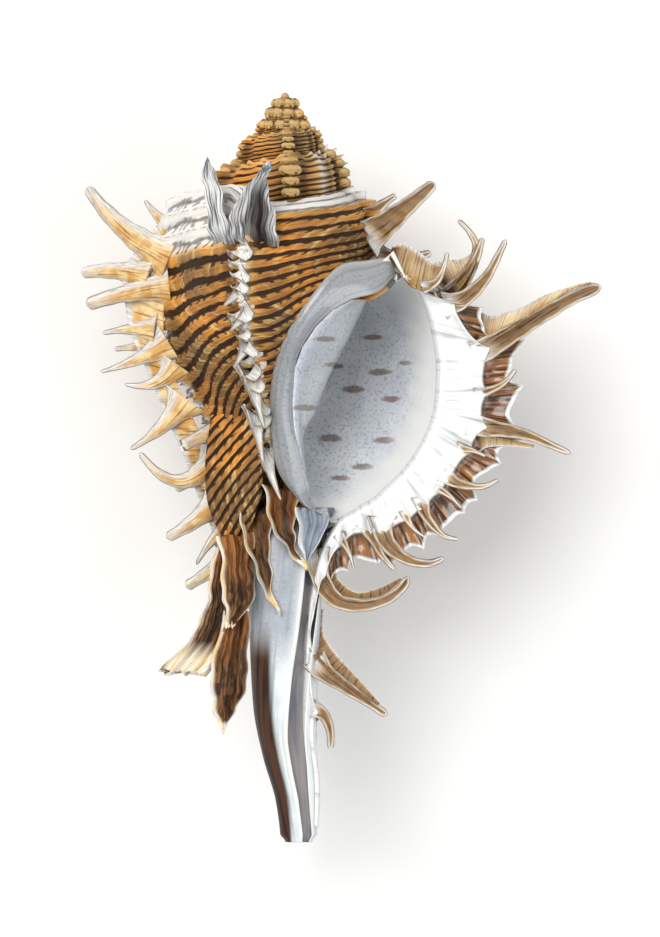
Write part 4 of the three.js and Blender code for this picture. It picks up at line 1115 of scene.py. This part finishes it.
def make_inner_lip(material):
    """A band between two curves: a low arch, INNER_LIP_RISE sin(pi s^0.8) above the line between them, and a
    deeper one below."""
    rows = rows_at(INNER_LIP, 220)
    outer, inner = rows[:, None, :3], rows[:, None, 3:]
    top = np.linspace(0, 1, 24)[None, :, None]
    arch = outer + (inner - outer) * top + FORWARD * INNER_LIP_RISE * np.sin(np.pi * top**0.8)
    deep = INNER_LIP_DEEP * (0.6 + 0.4 * np.sin(np.pi * top))
    under = outer + (inner - outer) * top[:, ::-1] - FORWARD * deep
    length = np.linspace(0, INNER_LIP_LENGTH, 220)[:, None]
    around = two_faces(24)[0][None]
    band = 0.08 + 0.6 * smooth(around, 0.16, 0.04)
    band = band + 0.25 * smooth(length, 14, 4) + 0.6 * smooth(length, 42, 48)
    skin = Skin()
    # deep of about 0.58 greys the whole band: painted shade over the inner lip.
    skin.add(np.concatenate([arch, under], 1), cord=around * 3, run=0.1 * wobble(length * 0.4, around, 1.0),
             pale=np.clip(band, 0, 1), deep=0.58 + 0.02 * smooth(around, 0.7, 0.95) * smooth(length, 14, 20))
    return skin.make("inner_lip", material)


# Canal: depth below the apex, centre x, centre z, half width, half thickness.
CANAL = [
    (66.5, -1.6, -2.4, 2.2, 2.4), (69, -1, -0.8, 4.4, 3.8), (72, -0.5, 0.4, 5.4, 4.8), (81, 0, 0.3, 5.8, 4.8),
    (92, -0.1, 0, 5.4, 4.2), (100, 0.1, -0.4, 5, 3.8), (107, 0.9, -1, 4.3, 3.2), (113, 1.9, -1.7, 3.5, 2.7),
    (120.1, 2.2, -2.6, 2.9, 2.2),
]
# Its open slit: depth, x from the axis, half width, z of its floor.
SLIT = [
    (66, 6, 1.9, 0.6), (72, 5, 1.5, 1.2), (77, 4.5, 1.3, 1.4), (86, 3.5, 1.25, 1.3), (94, 2.4, 1.3, 1.2),
    (103, 1.8, 1.35, 0.6), (108, 2.3, 1.2, 0), (113.3, 3, 0.85, -0.8), (121, 3.7, 0.7, -2),
]
CANAL_STEPS = 240


def make_canal(material):
    """A tube of elliptical section with a narrow slit let into its front, down to the slit's floor."""
    depth = np.linspace(CANAL[0][0], CANAL[-1][0], CANAL_STEPS)
    x, z, wide, thick = row_for(CANAL, depth)
    slit, half, floor = row_for(SLIT, depth)
    depth = depth[:, None]
    right = np.arccos(np.clip((slit + half - x) / wide, -0.98, 0.98))
    left = np.arccos(np.clip((slit - half - x) / wide, -0.98, 0.98))
    turn = np.linspace(0, 1, 96)[None]
    angle = left + (right + math.tau - left) * turn
    outer_x, outer_z = x + wide * np.cos(angle), z + thick * np.sin(angle)
    low, high = outer_z[:, -1:], outer_z[:, :1]
    wall = np.linspace(0.1, 1, 8)[None]
    down, up = low + (floor - low) * wall, floor + (high - floor) * (wall - 0.1)
    ring_x = np.concatenate([outer_x, slit + half + 0 * down, slit - half + 0 * up], 1)
    ring_x = AXIS_X + x + (ring_x - x) * (1 - 0.25 * smooth(depth, 118.8, 120.1))
    rings = np.stack([ring_x, APEX_Y - depth + 0 * ring_x, np.concatenate([outer_z, down, up], 1)], -1)
    around = np.concatenate([turn[0], np.full(8, 1.05), np.full(8, 1.1)])[None]
    inside = (around > 1.01) * 1.0
    left_side = smooth((AXIS_X + x - ring_x) / wide, 0.3, 0.5) * smooth(depth, 84, 91)
    lips = np.exp(-((around / 0.03) ** 2)) + np.exp(-(((around - 1) / 0.03) ** 2))
    skin = Skin()
    deep = left_side * (1 - inside) + 2.0 * inside
    skin.add(rings, cord=around * 3, run=depth, pale=0.15 + 0.85 * lips, deep=deep)
    frond(skin, PLEATS, 0.3, 3.5, 0.1, 0.0, seed=2.0)
    return skin.make("canal", material)


# The blade that joins the roots of the left varix's spines: x and y of its edge, and of its foot.
LEFT_BLADE = [
    (-21.6, 43.4, -20, 38), (-27.6, 40.4, -24, 35), (-33.6, 33.6, -27, 30), (-34.8, 29.6, -28, 27),
    (-33.8, 22.8, -28.2, 21.5), (-32.4, 18.8, -27.6, 17), (-29.8, 12.8, -25.8, 12.6),
    (-27.6, 7.6, -23.4, 7.6), (-24.8, 1.2, -20.6, 1.6), (-23, -4, -18.6, -4), (-20.8, -9.4, -16.6, -9.6),
    (-19.4, -15.4, -14.6, -15.6), (-18, -20.6, -13.4, -20.6),
]


def make_left_blade(material):
    """A thin sheet between its foot and its edge, folded in waves that grow towards the edge."""
    rows = rows_at(LEFT_BLADE, 360)[:, None]
    share, side = (row[None] for row in two_faces(20))
    length = np.linspace(0, 70, 360)[:, None]
    flat = rows[..., 2:] + (rows[..., :2] - rows[..., 2:]) * share[..., None]
    z = -1.4 - 1.0 * share + side * (0.9 - 0.75 * share) + 0.5 * share * wobble(length * 1.1, share, 6.0)
    skin = Skin()
    skin.add(np.concatenate([flat, z[..., None]], -1), cord=length / 1.6, run=share * 5,
             pale=smooth(share, 0.75, 0.95), deep=0.15 * (side < 0))
    return skin.make("left_varix", material)


# Rounded knobs on the varices of the spire: radius and depth on the outline, and their half sizes across,
# up and outwards. Then the blunt top: depth below the apex, distance from the axis, size of a knob, and
# their number.
KNOBS = [(16.6, 27.4), (20.4, 31.0), (21.8, 35.2), (22.2, 39.6)]
KNOB_SIZE = np.array([3.9, 2.2, 2.7])
SMALLEST_KNOB = 0.1
CROWN = [(0.85, 0.0, 0.8, 1), (1.9, 1.5, 0.85, 6), (3.5, 2.3, 0.95, 8), (5.4, 3.2, 1.0, 10)]


def make_knobs(material):
    """Ellipsoids half sunk in the whorls, each a little different from the next."""
    skin = Skin()
    polar = np.linspace(0.15, math.pi - 0.15, 12)[:, None]
    around = np.linspace(0, math.tau, 24, endpoint=False)[None]
    level = np.sin(polar)
    ball = np.stack([level * np.cos(around), np.cos(polar) + 0 * around, level * np.sin(around)], -1)

    def add(middle, turn, sizes):
        outward = np.array([math.cos(turn), 0.0, math.sin(turn)])
        beside = np.array([-math.sin(turn), 0.0, math.cos(turn)])
        axes = np.stack([beside, UP, outward]) * sizes[:, None]
        skin.add(middle + ball @ axes, cord=ball[..., 1] * 0.44, run=ball[..., 0] * 2 + turn * 3, pale=0.4)

    for varix in VARICES[(VARICES < -365) & (WHORL_GROWTH ** (VARICES / 360) > SMALLEST_KNOB)]:
        size = WHORL_GROWTH ** (varix / 360)
        for number, (radius, depth) in enumerate(KNOBS):
            middle = coil(varix, radius * (1 + VARIX_SWELL) + 0.4, depth)
            add(middle, math.radians(varix), KNOB_SIZE * size * (1 + 0.16 * math.sin(varix + 2.1 * number)))
    for depth, distance, size, count in CROWN:
        for number in range(count):
            turn = math.tau * (number + 0.25) / count + depth
            middle = np.array([AXIS_X + distance * math.cos(turn), APEX_Y - depth, distance * math.sin(turn)])
            add(middle, turn, np.full(3, size) * (1 + 0.12 * math.sin(7 * turn)))
    return skin.make("knobs", material)


# Stage, light and camera


# The photo's height in pixels, the millimetres in each, and the place in the photo's middle.
PHOTO_HEIGHT = 937
PIXEL = 0.16
PHOTO_CENTRE = (-1.6, -0.16)
CAMERA_HEIGHT = 1500.0
SENSOR = 36.0


def make_stage():
    """A wide pale floor at the level that the shell rests on."""
    paint = Paint("pale_floor", 0.9)
    half = 4000 * MM
    mesh = bpy.data.meshes.new("floor")
    level = LOWEST[2] * MM
    corners = [(x * half, y * half, level) for x, y in ((-1, -1), (1, -1), (1, 1), (-1, 1))]
    mesh.from_pydata(corners, [], [(0, 1, 2, 3)])
    mesh.materials.append(paint.finish(rgb(240, 239, 236)))
    floor = shown("floor", mesh)


def make_light(name, place_mm, size, power, colour):
    """A round area light that faces the shell."""
    light = bpy.data.lights.new(name, "AREA")
    light.shape = "DISK"
    light.size = size * MM
    light.energy = power
    light.color = colour
    lamp = shown(name, light)
    lamp.location = np.array(place_mm) * MM
    middle = np.array([0.0, 0.0, AXIS_Z]) * MM
    away = lamp.location - type(lamp.location)(middle)
    lamp.rotation_euler = away.to_track_quat("Z", "Y").to_euler()


def make_lights():
    """A broad soft key from the upper left, a weaker fill from the right, and a pale sky."""
    make_light("key", (-320, 320, 800), 700, 7.2, (1.0, 0.985, 0.96))
    make_light("fill", (520, -260, 620), 600, 2.4, (0.94, 0.97, 1.0))
    world = bpy.data.worlds.new("sky")
    world.use_nodes = True
    background = world.node_tree.nodes["Background"]
    background.inputs["Color"].default_value = (0.95, 0.97, 1.0, 1.0)
    background.inputs["Strength"].default_value = 0.54
    bpy.context.scene.world = world
    bpy.context.scene.view_settings.view_transform = "Standard"


def make_camera():
    """Straight down on the shell with the apex at the top, as far away as keeps the view nearly parallel."""
    camera = bpy.data.cameras.new("camera")
    camera.sensor_width = SENSOR
    camera.lens = SENSOR * CAMERA_HEIGHT / (PHOTO_HEIGHT * PIXEL)
    camera.clip_end = 100
    holder = shown("camera", camera)
    holder.location = (PHOTO_CENTRE[0] * MM, PHOTO_CENTRE[1] * MM, (AXIS_Z + CAMERA_HEIGHT) * MM)
    bpy.context.scene.camera = holder


make_camera()
make_lights()
make_stage()
banded = whorl_material()
enamel = enamel_material()
make_spire(banded)
make_body(banded, enamel)
horn = spine_material()
make_spines(horn)
make_fronds(frond_material())
make_lip(enamel)
make_inner_lip(enamel)
make_canal(canal_material())
make_left_blade(horn)
make_knobs(banded)
